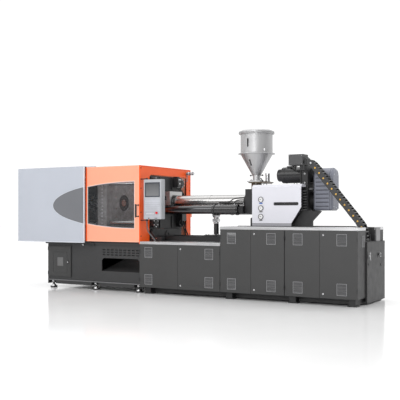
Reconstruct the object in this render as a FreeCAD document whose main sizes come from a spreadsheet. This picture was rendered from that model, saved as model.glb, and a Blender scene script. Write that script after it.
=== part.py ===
import FreeCAD, Part
import Sketcher
import math
import os
import re

# Horizontal injection moulding machine with a double toggle clamp.
# Frame: +X runs from the clamp end to the injection end, the operator stands at -Y, +Z is up.
# The origin is at floor level under the middle of the machine. Every length is in millimetres.

DIMENSIONS = {
    # overall lines of the machine
    "axis_height": 1520,
    "clamp_end": -3258,
    "injection_end": 3200,
    "sheet": 6,
    "wall": 20,
    "running_gap": 0.3,
    "bore_gap": 0.06,
    # clamp bed
    "bed_left": -2624,
    "bed_right": -537,
    "bed_half_width": 720,
    "bed_bottom": 70,
    "bed_flange_bottom": 790,
    "bed_top": 820,
    "flange_left": -2670,
    "flange_half_width": 748,
    "chute_left": -1400,
    "chute_right": -600,
    "chute_bottom": 334,
    "chute_top": 560,
    "foot_pad_radius": 62,
    "foot_stud_radius": 18,
    "foot_row": 680,
    # injection bed
    "base_front": -790,
    "base_back": 417,
    "base_bottom": 107,
    "mid_left": -533,
    "mid_top": 860,
    "high_left": 997,
    "high_top": 1120,
    "plinth_front": -642,
    "plinth_bottom": 20,
    "recess_left": 3030,
    "recess_front": -439,
    "recess_back": -20,
    "recess_floor": 918,
    "end_box_proud": 25,
    # cabinet doors
    "door_thickness": 15,
    "door_sheet": 4,
    "door_gap": 2,
    "door_return": 12,
    "hinge_radius": 4,
    "hinge_length": 60,
    "hinge_proud": 5,
    "vent_width": 150,
    "vent_height": 170,
    "vent_slot": 12,
    "vent_pitch": 34,
    "vent_bottom": 155,
    "vent_drop": 90,
    # platens and tie bars
    "platen_half_width": 520,
    "platen_half_height": 455,
    "fixed_platen_left": -790,
    "fixed_platen_right": -548,
    "moving_platen_left": -1650,
    "moving_platen_right": -1450,
    "tail_platen_left": -2342,
    "tail_platen_right": -2122,
    "tie_bar_radius": 47.5,
    "tie_bar_y": 420,
    "tie_bar_z": 350,
    "tie_bar_left": -2620,
    "tie_bar_right": -462,
    "nut_radius": 82,
    "nut_length": 70,
    "leg_inner": 300,
    "ring_radius": 62,
    "tapped_radius": 8.75,
    "tapped_depth": 45,
    "mould_pitch": 245,
    # double toggle
    "tail_pivot_x": -2032,
    "platen_pivot_x": -1740,
    "toggle_spread": 110,
    "link_length": 440,
    "link_angle": 70.62,
    "link_half_width": 46,
    "hub_radius": 50,
    "pin_radius": 28,
    "drive_pin_radius": 18,
    "drive_pin_x": 63.2,
    "drive_pin_z": 35.2,
    "drive_link_length": 296.7,
    "drive_link_angle": 98.83,
    "ear_along": 211.8,
    "ear_across": 55.8,
    "ear_radius": 36,
    "cheek_inner": 62,
    "cheek_outer": 120,
    "lug_inner": 125,
    "lug_outer": 195,
    "slot_half": 43,
    "guide_rod_y": 240,
    "guide_rod_radius": 20,
    # guards
    "shell_right": -1677,
    "shell_half_width": 866,
    "shell_top": 2152,
    "shell_corner": 40,
    "guard_half_width": 807,
    "guard_bottom": 848,
    "guard_top": 2135,
    "panel_left": -547,
    "panel_right": -535,
    "door_left": -1685,
    "door_right": -549,
    "slide_door_thickness": 36,
    "window_centre_x": -639,
    "window_centre_z": 1473,
    "window_half_length": 1743,
    "window_half_height": 396,
    "window_left": -1645,
    "window_lap": 14,
    "opening_front": -519,
    "opening_back": 671,
    "opening_top": 1990,
    # operator panel
    "panel_box_left": -450,
    "panel_box_right": -97,
    "panel_box_front": -807,
    "panel_box_back": -707,
    "panel_box_bottom": 1234,
    "panel_box_top": 1890,
    "screen_left": -425,
    "screen_right": -131,
    "screen_bottom": 1600,
    "screen_top": 1840,
    "swing_x": -425,
    "swing_y": -752,
    "stop_x": -186,
    "stop_z": 1338,
    "stop_radius": 20,
    # injection unit
    "carriage_bottom": 1131,
    "carriage_top": 1176,
    "cover_left": 1360,
    "cover_right": 2190,
    "cover_half_width": 420,
    "cover_top": 1776,
    "cover_bevel": 36,
    "cover_cut_x": 2029,
    "cover_cut_z": 1423,
    "barrel_radius": 65,
    "screw_radius": 30,
    "barrel_left": -420,
    "casting_left": 1150,
    "casting_right": 1330,
    "casting_half_width": 250,
    "casting_top": 1720,
    "jacket_radius": 119,
    "jacket_left": -288,
    "jacket_right": 1055,
    "traverse_y": 300,
    "traverse_z": 1388,
    "traverse_rod_radius": 68,
    "support_x": 475,
    "traverse_body_radius": 80,
    "hopper_x": 1230,
    "hopper_radius": 261,
    "hopper_rim": 290,
    "hopper_sheet": 5,
    "hopper_top": 2640,
    "hopper_seam": 2292,
    "cone_bottom": 1957,
    "throat_radius": 62,
    "slide_plate_bottom": 1822,
    "slide_plate_top": 1840,
    "hopper_base": 1860,
    "drain_x": 1430,
    "motor_height": 1936,
    "motor_radius": 128,
    "motor_left": 1635,
    "drive_plate_left": 2132,
    "drive_plate_right": 2222,
    "drive_plate_top": 2060,
    "drive_foot_top": 1211,
    "box_left": 1955,
    "box_bottom": 2068,
    "box_top": 2235,
    "belt_cover_left": 2284,
    "belt_cover_right": 2590,
    "belt_cover_half_width": 146,
    "belt_cover_bottom": 1372,
    "belt_cover_top": 2030,
    "belt_cover_arch": 136,
    "pulley_left": 2360,
    "pulley_width": 70,
    "screw_pulley_radius": 125,
    "motor_pulley_radius": 62.5,
    "shank_radius": 25,
    "shank_right": 2340,
    "pulley_hub": 124,
    "pulley_hub_radius": 52,
    # energy chain
    "chain_front": -362,
    "chain_width": 150,
    "chain_thickness": 100,
    "chain_height": 2120,
}

doc = FreeCAD.newDocument("injection_moulding_machine")
sheet = doc.addObject("Spreadsheet::Sheet", "Dims")
finished = []


def fill_sheet():
    """Write every driving dimension to its own row with its alias."""
    for row, (alias, value) in enumerate(DIMENSIONS.items(), start=1):
        sheet.set(f"A{row}", alias)
        sheet.set(f"B{row}", str(value))
        sheet.setAlias(f"B{row}", alias)
    doc.recompute()


def linked(text):
    """Turn a formula over the aliases into an expression on the sheet."""
    def swap(match):
        word = match.group(0)
        return f"Dims.{word}" if word in DIMENSIONS else word
    return re.sub(r"[a-z_]+", swap, str(text))


def bind(item, prop, formula):
    item.setExpression(prop, linked(formula))


def place(item, x="0", y="0", z="0"):
    bind(item, "Placement.Base.x", x)
    bind(item, "Placement.Base.y", y)
    bind(item, "Placement.Base.z", z)


def box(x_range, y_range, z_range):
    """A block between two planes along each axis."""
    item = doc.addObject("Part::Box", "block")
    sizes = zip(("Length", "Width", "Height"), (x_range, y_range, z_range))
    for prop, (low, high) in sizes:
        bind(item, prop, f"({high}) - ({low})")
    place(item, x_range[0], y_range[0], z_range[0])
    return item


def cylinder(radius, axis, span, centre):
    """A round bar along axis from span[0] to span[1]; centre gives the other two coordinates."""
    item = doc.addObject("Part::Cylinder", "round")
    bind(item, "Radius", radius)
    bind(item, "Height", f"({span[1]}) - ({span[0]})")
    low = span[0]
    first, second = centre
    if axis == "x":
        item.Placement.Rotation = FreeCAD.Rotation(FreeCAD.Vector(0, 1, 0), 90)
        place(item, low, first, second)
    elif axis == "y":
        item.Placement.Rotation = FreeCAD.Rotation(FreeCAD.Vector(1, 0, 0), -90)
        place(item, first, low, second)
    else:
        place(item, first, second, low)
    return item


def cone(low_radius, high_radius, span, centre):
    """A cone along X between two radii."""
    item = doc.addObject("Part::Cone", "taper")
    bind(item, "Radius1", low_radius)
    bind(item, "Radius2", high_radius)
    bind(item, "Height", f"({span[1]}) - ({span[0]})")
    item.Placement.Rotation = FreeCAD.Rotation(FreeCAD.Vector(0, 1, 0), 90)
    place(item, span[0], centre[0], centre[1])
    return item


def fuse(items):
    if len(items) == 1:
        return items[0]
    item = doc.addObject("Part::MultiFuse", "union")
    item.Shapes = list(items)
    item.Refine = True
    return item


def cut(base, tools):
    item = doc.addObject("Part::Cut", "difference")
    item.Base = base
    item.Tool = fuse(tools)
    item.Refine = True
    return item


def common(first, second):
    item = doc.addObject("Part::Common", "overlap")
    item.Base = first
    item.Tool = second
    return item


def group(items):
    """Identical separate pieces kept together in one sub-part."""
    item = doc.addObject("Part::Compound", "set")
    item.Links = list(items)
    return item


def mirror_copy(source, base_z):
    item = doc.addObject("Part::Mirroring", "mirrored")
    item.Source = source
    item.Normal = FreeCAD.Vector(0, 0, 1)
    item.setExpression("Base.z", linked(base_z))
    return item


def finish(item, name):
    """Name a finished sub-part; the name is also its file's name."""
    item.Label = name
    finished.append(item)
    return item


# ---------------------------------------------------------------- sketched bodies

def origin_plane(body, role):
    for feature in body.Origin.OriginFeatures:
        if feature.Role == role:
            return feature
    raise ValueError(role)


def outline_sketch(body, role, outlines):
    """Closed outlines of straight runs, every corner tied to the sheet."""
    sketch = body.newObject("Sketcher::SketchObject", "outline")
    sketch.AttachmentSupport = [(origin_plane(body, role), "")]
    sketch.MapMode = "FlatFace"
    for corners in outlines:
        count = len(corners)
        first = sketch.GeometryCount
        ring = [
            FreeCAD.Vector(math.cos(math.tau * i / count), math.sin(math.tau * i / count), 0)
            for i in range(count)
        ]
        for i in range(count):
            sketch.addGeometry(Part.LineSegment(ring[i], ring[(i + 1) % count]), False)
        for i, (across, up) in enumerate(corners):
            edge = first + i
            following = first + (i + 1) % count
            sketch.addConstraint(Sketcher.Constraint("Coincident", edge, 2, following, 1))
            for kind, formula in (("DistanceX", across), ("DistanceY", up)):
                index = sketch.addConstraint(Sketcher.Constraint(kind, -1, 1, edge, 1, 1.0))
                sketch.setExpression(f"Constraints[{index}]", linked(formula))
    doc.recompute()
    return sketch


def new_body():
    return doc.addObject("PartDesign::Body", "body")


def padded_body(role, outlines, low, high):
    """A plate sketched on one origin plane and padded from low to high along its normal."""
    body = new_body()
    sketch = outline_sketch(body, role, outlines)
    pad = body.newObject("PartDesign::Pad", "pad")
    pad.Profile = sketch
    bind(pad, "Length", f"({high}) - ({low})")
    if role == "XZ_Plane":
        place(body, y=high)
    elif role == "YZ_Plane":
        place(body, x=low)
    else:
        place(body, z=low)
    doc.recompute()
    return body


def turned_body(corners, axis):
    """A turned piece: corners are (along, radius) about X, or (radius, along) about Z."""
    body = new_body()
    sketch = outline_sketch(body, "XZ_Plane", [corners])
    turn = body.newObject("PartDesign::Revolution", "turning")
    turn.Profile = sketch
    turn.ReferenceAxis = (sketch, ["H_Axis" if axis == "x" else "V_Axis"])
    turn.Angle = 360
    if axis == "x":
        place(body, z="axis_height")
    doc.recompute()
    return body


def rounded(body, radius, wanted):
    """Fillet the edges of a body for which wanted(edge) is true."""
    tip = body.Tip
    names = [f"Edge{i}" for i, edge in enumerate(tip.Shape.Edges, start=1) if wanted(edge)]
    fillet = body.newObject("PartDesign::Fillet", "fillet")
    fillet.Base = (tip, names)
    bind(fillet, "Radius", radius)
    doc.recompute()
    return body


def runs_along(edge, axis):
    if edge.Curve.TypeId != "Part::GeomLine":
        return False
    return abs(edge.Curve.Direction.dot(axis)) > 0.999


X_AXIS = FreeCAD.Vector(1, 0, 0)
Y_AXIS = FreeCAD.Vector(0, 1, 0)
Z_AXIS = FreeCAD.Vector(0, 0, 1)


# ---------------------------------------------------------------- beds

FOOT_COLUMNS = ("-2528", "-1550", "-632")
BLOCK_COLUMNS = ("-460", "1067", "2129", "3040")


def clamp_bed():
    """Hollow welded bed with a top flange, a parts chute, vents and a service hatch."""
    outer = box(("bed_left", "bed_right"), ("-bed_half_width", "bed_half_width"),
                ("bed_bottom", "bed_flange_bottom"))
    flange = box(("flange_left", "bed_right"), ("-flange_half_width", "flange_half_width"),
                 ("bed_flange_bottom", "bed_top"))
    inner = box(("bed_left + wall", "bed_right - wall"),
                ("wall - bed_half_width", "bed_half_width - wall"),
                ("bed_bottom + wall", "bed_flange_bottom"))
    well = box(("chute_left", "chute_right"), ("-280", "280"),
               ("bed_flange_bottom - wall", "bed_top + 1"))
    mouth = padded_body("XZ_Plane", [[("chute_left", "chute_bottom"), ("chute_right", "chute_bottom"),
                                      ("chute_right", "chute_top - 40"),
                                      ("chute_right - 40", "chute_top"),
                                      ("chute_left + 40", "chute_top"),
                                      ("chute_left", "chute_top - 40")]],
                        "-bed_half_width - 1", "wall - bed_half_width + 1")
    hatch = box(("bed_left + 24", "bed_left + 524"), ("-bed_half_width - 1", "wall - bed_half_width + 1"),
                ("225", "725"))
    slots = [
        box((f"-1380 + {column} * 89", f"-1320 + {column} * 89"),
            ("-bed_half_width - 1", "wall - bed_half_width + 1"),
            (f"610 + {row} * 43", f"624 + {row} * 43"))
        for column in range(10) for row in range(3)
    ]
    notches = [
        box((f"{x} - 80", f"{x} + 80"), (f"{side} * foot_row - 75", f"{side} * foot_row + 75"),
            ("bed_bottom - 1", "150"))
        for x in FOOT_COLUMNS for side in ("-1", "1")
    ]
    pockets = [
        box((f"{x} - 92", f"{x} + 92"), (f"{side} * foot_row - 40", f"{side} * foot_row + 40"),
            ("bed_bottom", "162"))
        for x in FOOT_COLUMNS for side in ("-1", "1")
    ]
    slope = padded_body("YZ_Plane",
                        [[("700", "700"), ("700", "680"), ("wall - bed_half_width", "chute_bottom - 20"),
                                      ("wall - bed_half_width", "chute_bottom")]],
                        "chute_left - 6", "chute_right + 6")
    hollow = cut(fuse([outer, flange]), [inner, well, mouth, hatch] + slots)
    finish(cut(fuse([hollow, slope] + pockets), notches), "clamp_bed")


def injection_bed():
    """Welded cabinet frame in two heights on a recessed plinth, with the chain recess at its end."""
    front = "base_front"
    outers = [
        box(("mid_left", "high_left"), (front, "base_back"), ("base_bottom", "mid_top")),
        box(("high_left", "injection_end"), (front, "base_back"), ("base_bottom", "high_top")),
        box(("mid_left + 40", "injection_end - 40"), ("plinth_front", "base_back - 150"),
            ("plinth_bottom", "base_bottom")),
        box(("injection_end", "injection_end + end_box_proud"), ("recess_front", "base_back"),
            ("plinth_bottom", "recess_floor - 8")),
    ]
    inner = [
        box(("mid_left + wall", "high_left - wall"), (f"{front} + wall", "base_back - wall"),
            ("base_bottom + wall", "mid_top - wall")),
        box(("high_left", "injection_end - wall"), (f"{front} + wall", "base_back - wall"),
            ("base_bottom + wall", "high_top - wall")),
    ]
    windows = [
        box((f"{left} + 42", f"{right} - 42"), (f"{front} - 1", f"{front} + wall + 1"),
            ("base_bottom + 45", f"{top} - 80"))
        for left, right, top, _, _ in CABINET_DOORS
    ]
    recess_walls = box(("recess_left - wall", "injection_end"),
                       ("recess_front - wall", "recess_back + wall"),
                       ("recess_floor - wall", "high_top"))
    recess = box(("recess_left", "injection_end + 1"), ("recess_front", "recess_back"),
                 ("recess_floor", "high_top + 1"))
    hollow = cut(fuse(outers), inner + windows)
    finish(cut(fuse([hollow, recess_walls]), [recess]), "injection_bed")


def levelling_feet():
    """Screw feet under the clamp bed and steel blocks under the injection bed."""
    screws = []
    for x in FOOT_COLUMNS:
        for side in ("-1", "1"):
            centre = (x, f"{side} * foot_row")
            pad = cylinder("foot_pad_radius", "z", ("0", "24"), centre)
            stud = cylinder("foot_stud_radius", "z", ("24", "150"), centre)
            nut = cylinder("foot_stud_radius + 14", "z", ("122", "150"), centre)
            screws.append(fuse([pad, stud, nut]))
    blocks = [
        fuse([box((x, f"{x} + 140"), (low, f"{low} + 120"), ("0", "plinth_bottom")),
              box((f"{x} + 20", f"{x} + 120"), (low, f"{low} + 120"), ("plinth_bottom", "base_bottom"))])
        for x in BLOCK_COLUMNS for low in ("plinth_front - 122", "base_back - 148")
    ]
    finish(group(screws + blocks), "levelling_feet")


# left edge, right edge and cabinet top of each door, its hinged side, and how far in its vents stand
CABINET_DOORS = (
    ("mid_left", "212", "mid_top", "left", "100"),
    ("212", "high_left - 4", "mid_top", "right", "120"),
    ("high_left", "1530", "high_top", "left", "125"),
    ("1530", "2083", "high_top", "right", "136"),
    ("2095", "2637", "high_top", "left", "128"),
    ("2637", "injection_end", "high_top", "right", "150"),
)


def door_tray(left, right, low, high, front):
    """Folded sheet door, hollow behind."""
    back = f"{front} + door_thickness"
    tray = padded_body("XZ_Plane", [[(left, low), (right, low), (right, high), (left, high)]],
                       front, back)
    hollow = box((f"{left} + door_return", f"{right} - door_return"),
                 (f"{front} + door_sheet", f"{back} + 1"),
                 (f"{low} + door_return", f"{high} - door_return"))
    return cut(tray, [hollow])


def cabinet_doors():
    """Doors along the front of the injection bed, each with an upper and a lower slotted vent."""
    front = "base_front - door_gap - door_thickness"
    for number, (left, right, top, side, inset) in enumerate(CABINET_DOORS, start=1):
        edge_left = f"{left} + door_gap"
        edge_right = f"{right} - door_gap"
        tray = door_tray(edge_left, edge_right, "base_bottom", f"{top} - 40", front)
        if side == "left":
            vent_left = f"{edge_left} + {inset}"
        else:
            vent_left = f"{edge_right} - {inset} - vent_width"
        slots = []
        for vent_low in ("vent_bottom", f"{top} - vent_drop - vent_height"):
            for row in range(5):
                low = f"{vent_low} + 11 + {row} * vent_pitch"
                slots.append(box((f"{vent_left} + 8", f"{vent_left} + vent_width - 8"),
                                 (f"{front} - 1", "base_front"), (low, f"{low} + vent_slot")))
        finish(cut(tray, slots), f"cabinet_door_{number}")


def cabinet_hinges():
    """Two hinge barrels at each door's hinged edge, standing just proud of the door face."""
    axis_y = "base_front - door_gap - door_thickness - hinge_proud"
    barrels = []
    for left, right, top, side, _ in CABINET_DOORS:
        x = f"{left} + door_gap" if side == "left" else f"{right} - door_gap"
        for middle in ("230", f"{top} - 160"):
            barrels.append(cylinder("hinge_radius", "z",
                                    (f"{middle} - hinge_length / 2", f"{middle} + hinge_length / 2"),
                                    (x, axis_y)))
    hatch_axis = ("bed_left + 8", "-bed_half_width - door_gap - door_thickness - hinge_proud")
    for middle in ("260", "700"):
        barrels.append(cylinder("hinge_radius", "z",
                                (f"{middle} - hinge_length / 2", f"{middle} + hinge_length / 2"),
                                hatch_axis))
    finish(group(barrels), "cabinet_hinges")


def clamp_bed_door():
    front = "-bed_half_width - door_gap - door_thickness"
    tray = door_tray("bed_left + 8", "bed_left + 540", "205", "745", front)
    finish(tray, "clamp_bed_door")


def end_controls():
    """Lever and knob on the right end of the injection bed."""
    face = "injection_end + end_box_proud"
    boss = cylinder("22", "x", (face, f"{face} + 16"), ("-375", "707"))
    arm = box((f"{face} + 16", f"{face} + 28"), ("-382", "-368"), ("650", "764"))
    finish(fuse([boss, arm]), "selector_lever")
    stem = cylinder("14", "x", (face, f"{face} + 12"), ("103", "707"))
    grip = cylinder("30", "x", (f"{face} + 12", f"{face} + 33"), ("103", "707"))
    finish(fuse([stem, grip]), "selector_knob")


# ---------------------------------------------------------------- clamp

QUADRANTS = [(y, z) for y in ("-1", "1") for z in ("-1", "1")]


def tie_bar_centre(quadrant):
    y, z = quadrant
    return (f"{y} * tie_bar_y", f"axis_height + {z} * tie_bar_z")


def platen_block(left, right):
    plate = box((left, right), ("-platen_half_width", "platen_half_width"),
                ("axis_height - platen_half_height", "axis_height + platen_half_height"))
    legs = [
        box((left, right), (low, high), ("bed_top + running_gap", "axis_height - platen_half_height + 1"))
        for low, high in (("-platen_half_width", "-leg_inner"), ("leg_inner", "platen_half_width"))
    ]
    return fuse([plate] + legs)


def tie_bar_holes(left, right, gap):
    return [
        cylinder(f"tie_bar_radius + {gap}", "x", (f"{left} - 1", f"{right} + 1"), tie_bar_centre(q))
        for q in QUADRANTS
    ]


def mould_holes(mouth_low, mouth_high):
    """Tapped holes for clamping a mould, on a square pitch with side columns."""
    places = []
    for side in ("-1", "1"):
        for step in ("-1", "1"):
            places.append((f"{side} * mould_pitch", f"axis_height + {step} * mould_pitch"))
            places.append((f"{side} * mould_pitch", f"axis_height + {step} * 105"))
            places.append((f"{side} * mould_pitch", f"axis_height + {step} * 385"))
            places.append((f"{side} * 105", f"axis_height + {step} * 385"))
            places.append((f"{side} * 385", f"axis_height + {step} * 105"))
    return [cylinder("tapped_radius", "x", (mouth_low, mouth_high), centre) for centre in places]


def fixed_platen():
    left, right = "fixed_platen_left", "fixed_platen_right"
    block = platen_block(left, right)
    ring = cylinder("ring_radius", "x", (f"{left} - 1", f"{left} + 60"), ("0", "axis_height"))
    taper = cone("ring_radius - 8", "200", (f"{left} + 60", f"{right} + 1"), ("0", "axis_height"))
    holes = mould_holes(f"{left} - 1", f"{left} + tapped_depth")
    finish(cut(block, [ring, taper] + tie_bar_holes(left, right, "bore_gap") + holes), "fixed_platen")


def tie_bars():
    bars = [cylinder("tie_bar_radius", "x", ("tie_bar_left", "tie_bar_right"), tie_bar_centre(q))
            for q in QUADRANTS]
    finish(group(bars), "tie_bars")


def nut_ring(left, quadrant):
    ring = cylinder("nut_radius", "x", (left, f"{left} + nut_length"), tie_bar_centre(quadrant))
    bore = cylinder("tie_bar_radius + bore_gap", "x", (f"{left} - 1", f"{left} + nut_length + 1"),
                    tie_bar_centre(quadrant))
    return cut(ring, [bore])


def tie_bar_nuts():
    finish(group([nut_ring("fixed_platen_right", q) for q in QUADRANTS]), "tie_bar_nuts")
    finish(group([nut_ring("tail_platen_left - nut_length", q) for q in QUADRANTS]), "adjusting_nuts")


def pivot_lugs(span, pivot, z, inner, outer):
    """A pair of lugs over a span of X with round ends about a pivot, one on each side of the middle."""
    lugs = []
    for low, high in ((f"-{outer}", f"-{inner}"), (inner, outer)):
        lugs.append(box(span, (low, high), (f"{z} - hub_radius", f"{z} + hub_radius")))
        lugs.append(cylinder("hub_radius", "y", (low, high), (pivot, z)))
    return lugs


def tail_platen():
    left, right = "tail_platen_left", "tail_platen_right"
    pieces = [platen_block(left, right)]
    pins = []
    for side in ("-1", "1"):
        z = f"axis_height + {side} * toggle_spread"
        pieces += pivot_lugs((f"{right} - 1", "tail_pivot_x"), "tail_pivot_x", z, "lug_inner", "lug_outer")
        for low, high in (("-lug_outer", "-cheek_inner"), ("cheek_inner", "lug_outer")):
            pins.append(cylinder("pin_radius", "y", (low, high), ("tail_pivot_x", z)))
        rod_y = f"{side} * guide_rod_y"
        pins.append(cylinder("guide_rod_radius", "x", (f"{right} - 1", "tail_pivot_x + 345"),
                             (rod_y, "axis_height")))
    rod_hole = cylinder("50", "x", (f"{left} - 1", f"{right} + 1"), ("0", "axis_height"))
    finish(cut(fuse(pieces + pins), tie_bar_holes(left, right, "bore_gap") + [rod_hole]), "tail_platen")


def clamp_cylinder():
    """Hydraulic cylinder on the back of the tail platen."""
    face = "tail_platen_left"
    tube = cylinder("110", "x", (f"{face} - 470", face), ("0", "axis_height"))
    flange = box((f"{face} - 40", face), ("-150", "150"), ("axis_height - 150", "axis_height + 150"))
    cap = cylinder("128", "x", (f"{face} - 500", f"{face} - 440"), ("0", "axis_height"))
    bore = cylinder("80", "x", (f"{face} - 450", f"{face} - 45"), ("0", "axis_height"))
    gland = cylinder("40 + bore_gap", "x", (f"{face} - 60", f"{face} + 1"), ("0", "axis_height"))
    finish(cut(fuse([tube, flange, cap]), [bore, gland]), "clamp_cylinder")


def crosshead():
    """Crosshead on its guide rods, with the piston rod that drives it."""
    x = "tail_pivot_x + drive_pin_x"
    cheeks = [
        box((f"{x} - 48", f"{x} + 48"), (low, high), ("axis_height - 57", "axis_height + 57"))
        for low, high in (("-cheek_outer + 8", "-cheek_inner"), ("cheek_inner", "cheek_outer - 8"))
    ]
    beam = box((f"{x} - 48", f"{x} + 48"), ("-285", "285"), ("axis_height - 38", "axis_height + 38"))
    slot = box((f"{x} - 60", f"{x} + 60"), ("-cheek_inner + 4", "cheek_inner - 4"),
               ("axis_height - 60", "axis_height + 60"))
    bores = [
        cylinder("guide_rod_radius + bore_gap", "x", (f"{x} - 60", f"{x} + 60"),
                 (f"{side} * guide_rod_y", "axis_height"))
        for side in ("-1", "1")
    ]
    core = box((f"{x} - 48", f"{x} - 34"), ("-cheek_inner", "cheek_inner"),
               ("axis_height - 30", "axis_height + 30"))
    pins = [
        cylinder("drive_pin_radius", "y", ("-cheek_outer + 8", "cheek_outer - 8"),
                 (x, f"axis_height + {side} * drive_pin_z"))
        for side in ("-1", "1")
    ]
    rod = cylinder("40", "x", ("tail_platen_left - 420", f"{x} - 48"), ("0", "axis_height"))
    piston = cylinder("80 - bore_gap", "x", ("tail_platen_left - 435", "tail_platen_left - 380"),
                      ("0", "axis_height"))
    block = cut(fuse(cheeks + [beam]), [slot] + bores)
    finish(fuse([block, core, rod, piston] + pins), "crosshead")


def swung(item, angle, x, z):
    """Turn a link built along X about its first pivot and put that pivot in place."""
    item.Placement.Rotation = FreeCAD.Rotation(FreeCAD.Vector(0, -1, 0), 1)
    bind(item, "Placement.Rotation.Angle", angle)
    place(item, x, "0", z)
    return item


def rear_links():
    """Link of two cheeks joined by a web near the knee; its ear takes the drive link."""
    pieces = []
    for low, high in (("-cheek_outer", "-cheek_inner"), ("cheek_inner", "cheek_outer")):
        pieces.append(box(("0", "link_length"), (low, high), ("-link_half_width", "link_half_width")))
        pieces.append(cylinder("hub_radius", "y", (low, high), ("0", "0")))
        pieces.append(cylinder("ear_radius", "y", (low, high), ("ear_along", "ear_across")))
        pieces.append(box(("ear_along - ear_radius", "ear_along + ear_radius"), (low, high),
                          ("0", "ear_across")))
    pieces.append(cylinder("hub_radius", "y", ("-cheek_outer", "cheek_outer"), ("link_length", "0")))
    pieces.append(box(("320", "link_length"), ("-cheek_outer", "cheek_outer"), ("-36", "36")))
    pieces.append(cylinder("drive_pin_radius", "y", ("-cheek_outer", "cheek_outer"),
                           ("ear_along", "ear_across")))
    bores = [
        cylinder("pin_radius + bore_gap", "y", ("-lug_inner", "lug_inner"), ("link_length", "0")),
        cylinder("pin_radius + bore_gap", "y", ("-lug_inner", "lug_inner"), ("0", "0")),
    ]
    link = swung(cut(fuse(pieces), bores), "link_angle", "tail_pivot_x", "axis_height + toggle_spread")
    finish(link, "rear_link_upper")
    finish(mirror_copy(link, "axis_height"), "rear_link_lower")


def front_links():
    """Two cheeks outside the rear link, with the knee pin and the platen pin pressed in."""
    pieces = []
    for low, high in (("-lug_outer", "-lug_inner"), ("lug_inner", "lug_outer")):
        pieces.append(box(("0", "link_length"), (low, high), ("-link_half_width", "link_half_width")))
        for along in ("0", "link_length"):
            pieces.append(cylinder("hub_radius", "y", (low, high), (along, "0")))
    pieces.append(box(("150", "link_length - 150"), ("-lug_inner", "lug_inner"), ("-30", "30")))
    for along in ("0", "link_length"):
        pieces.append(cylinder("pin_radius", "y", ("-lug_outer", "lug_outer"), (along, "0")))
    knee_x = "tail_pivot_x + link_length * cos(link_angle * 1deg)"
    knee_z = "axis_height + toggle_spread + link_length * sin(link_angle * 1deg)"
    link = swung(fuse(pieces), "-link_angle", knee_x, knee_z)
    finish(link, "front_link_upper")
    finish(mirror_copy(link, "axis_height"), "front_link_lower")


def crosshead_links():
    """Drive link from the crosshead to the rear link's ear, with a free eye at the ear."""
    half = "cheek_inner - 8"
    bar = box(("0", "drive_link_length"), (f"-({half})", half), ("-20", "20"))
    ends = [cylinder("30", "y", (f"-({half})", half), (along, "0"))
            for along in ("0", "drive_link_length")]
    wide_eye = cylinder("34", "y", (f"-({half})", half), ("drive_link_length", "0"))
    bores = [
        cylinder("drive_pin_radius + bore_gap", "y", ("-cheek_inner", "cheek_inner"), ("0", "0")),
        cylinder("drive_pin_radius + 6.5", "y", ("-cheek_inner", "cheek_inner"),
                 ("drive_link_length", "0")),
    ]
    link = swung(cut(fuse([bar, wide_eye] + ends), bores), "drive_link_angle",
                 "tail_pivot_x + drive_pin_x", "axis_height + drive_pin_z")
    finish(link, "drive_link_upper")
    finish(mirror_copy(link, "axis_height"), "drive_link_lower")


def moving_platen():
    left, right = "moving_platen_left", "moving_platen_right"
    pieces = [platen_block(left, right)]
    slots = []
    for side in ("-1", "1"):
        z = f"axis_height + {side} * toggle_spread"
        pieces.append(box(("platen_pivot_x", f"{left} + 1"), ("-cheek_outer", "cheek_outer"),
                          (f"{z} - 48", f"{z} + 48")))
        pieces.append(box(("platen_pivot_x - slot_half - 18", "platen_pivot_x + 1"),
                          ("-cheek_outer", "cheek_outer"),
                          (f"{z} - 48", f"{z} + 48")))
        slots.append(box(("platen_pivot_x - slot_half + pin_radius",
                          "platen_pivot_x + slot_half - pin_radius"),
                         ("-lug_inner", "lug_inner"),
                         (f"{z} - pin_radius - running_gap", f"{z} + pin_radius + running_gap")))
        for end in ("-1", "1"):
            slots.append(cylinder("pin_radius + running_gap", "y", ("-lug_inner", "lug_inner"),
                                  (f"platen_pivot_x + {end} * (slot_half - pin_radius)", z)))
    face = cylinder("150", "x", (f"{right} - 15", f"{right} + 1"), ("0", "axis_height"))
    bore = cylinder("26", "x", (f"{left} - 1", f"{right} + 1"), ("0", "axis_height"))
    holes = mould_holes(f"{right} - tapped_depth", f"{right} + 1")
    tools = slots + [face, bore] + tie_bar_holes(left, right, "bore_gap") + holes
    finish(cut(fuse(pieces), tools), "moving_platen")


def ejector():
    left = "moving_platen_left"
    yoke = box((f"{left} - 130", f"{left} - 96"), ("-95", "95"), ("axis_height - 48", "axis_height + 48"))
    rod = cylinder("26 - bore_gap", "x", (f"{left} - 130", "moving_platen_right - 20"),
                   ("0", "axis_height"))
    finish(fuse([yoke, rod]), "ejector")


# ---------------------------------------------------------------- guards

def clamp_shell():
    """Sheet shell round the toggle, open towards the mould area and over the bed."""
    body = padded_body("XY_Plane",
                       [[("clamp_end", "-shell_half_width"), ("shell_right", "-shell_half_width"),
                                     ("shell_right", "shell_half_width"),
                                     ("clamp_end", "shell_half_width")]],
                       "bed_top", "shell_top")
    left = DIMENSIONS["clamp_end"]
    rounded(body, "shell_corner",
            lambda edge: runs_along(edge, Z_AXIS) and abs(edge.Vertexes[0].X - left) < 1)
    room = box(("clamp_end + sheet", "shell_right + 1"),
               ("sheet - shell_half_width", "shell_half_width - sheet"),
               ("bed_top + sheet", "shell_top - sheet"))
    over_bed = box(("flange_left - 10", "shell_right + 1"),
                   ("sheet - shell_half_width", "shell_half_width - sheet"),
                   ("bed_top - 1", "bed_top + sheet + 1"))
    finish(cut(body, [room, over_bed]), "clamp_shell")


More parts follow.
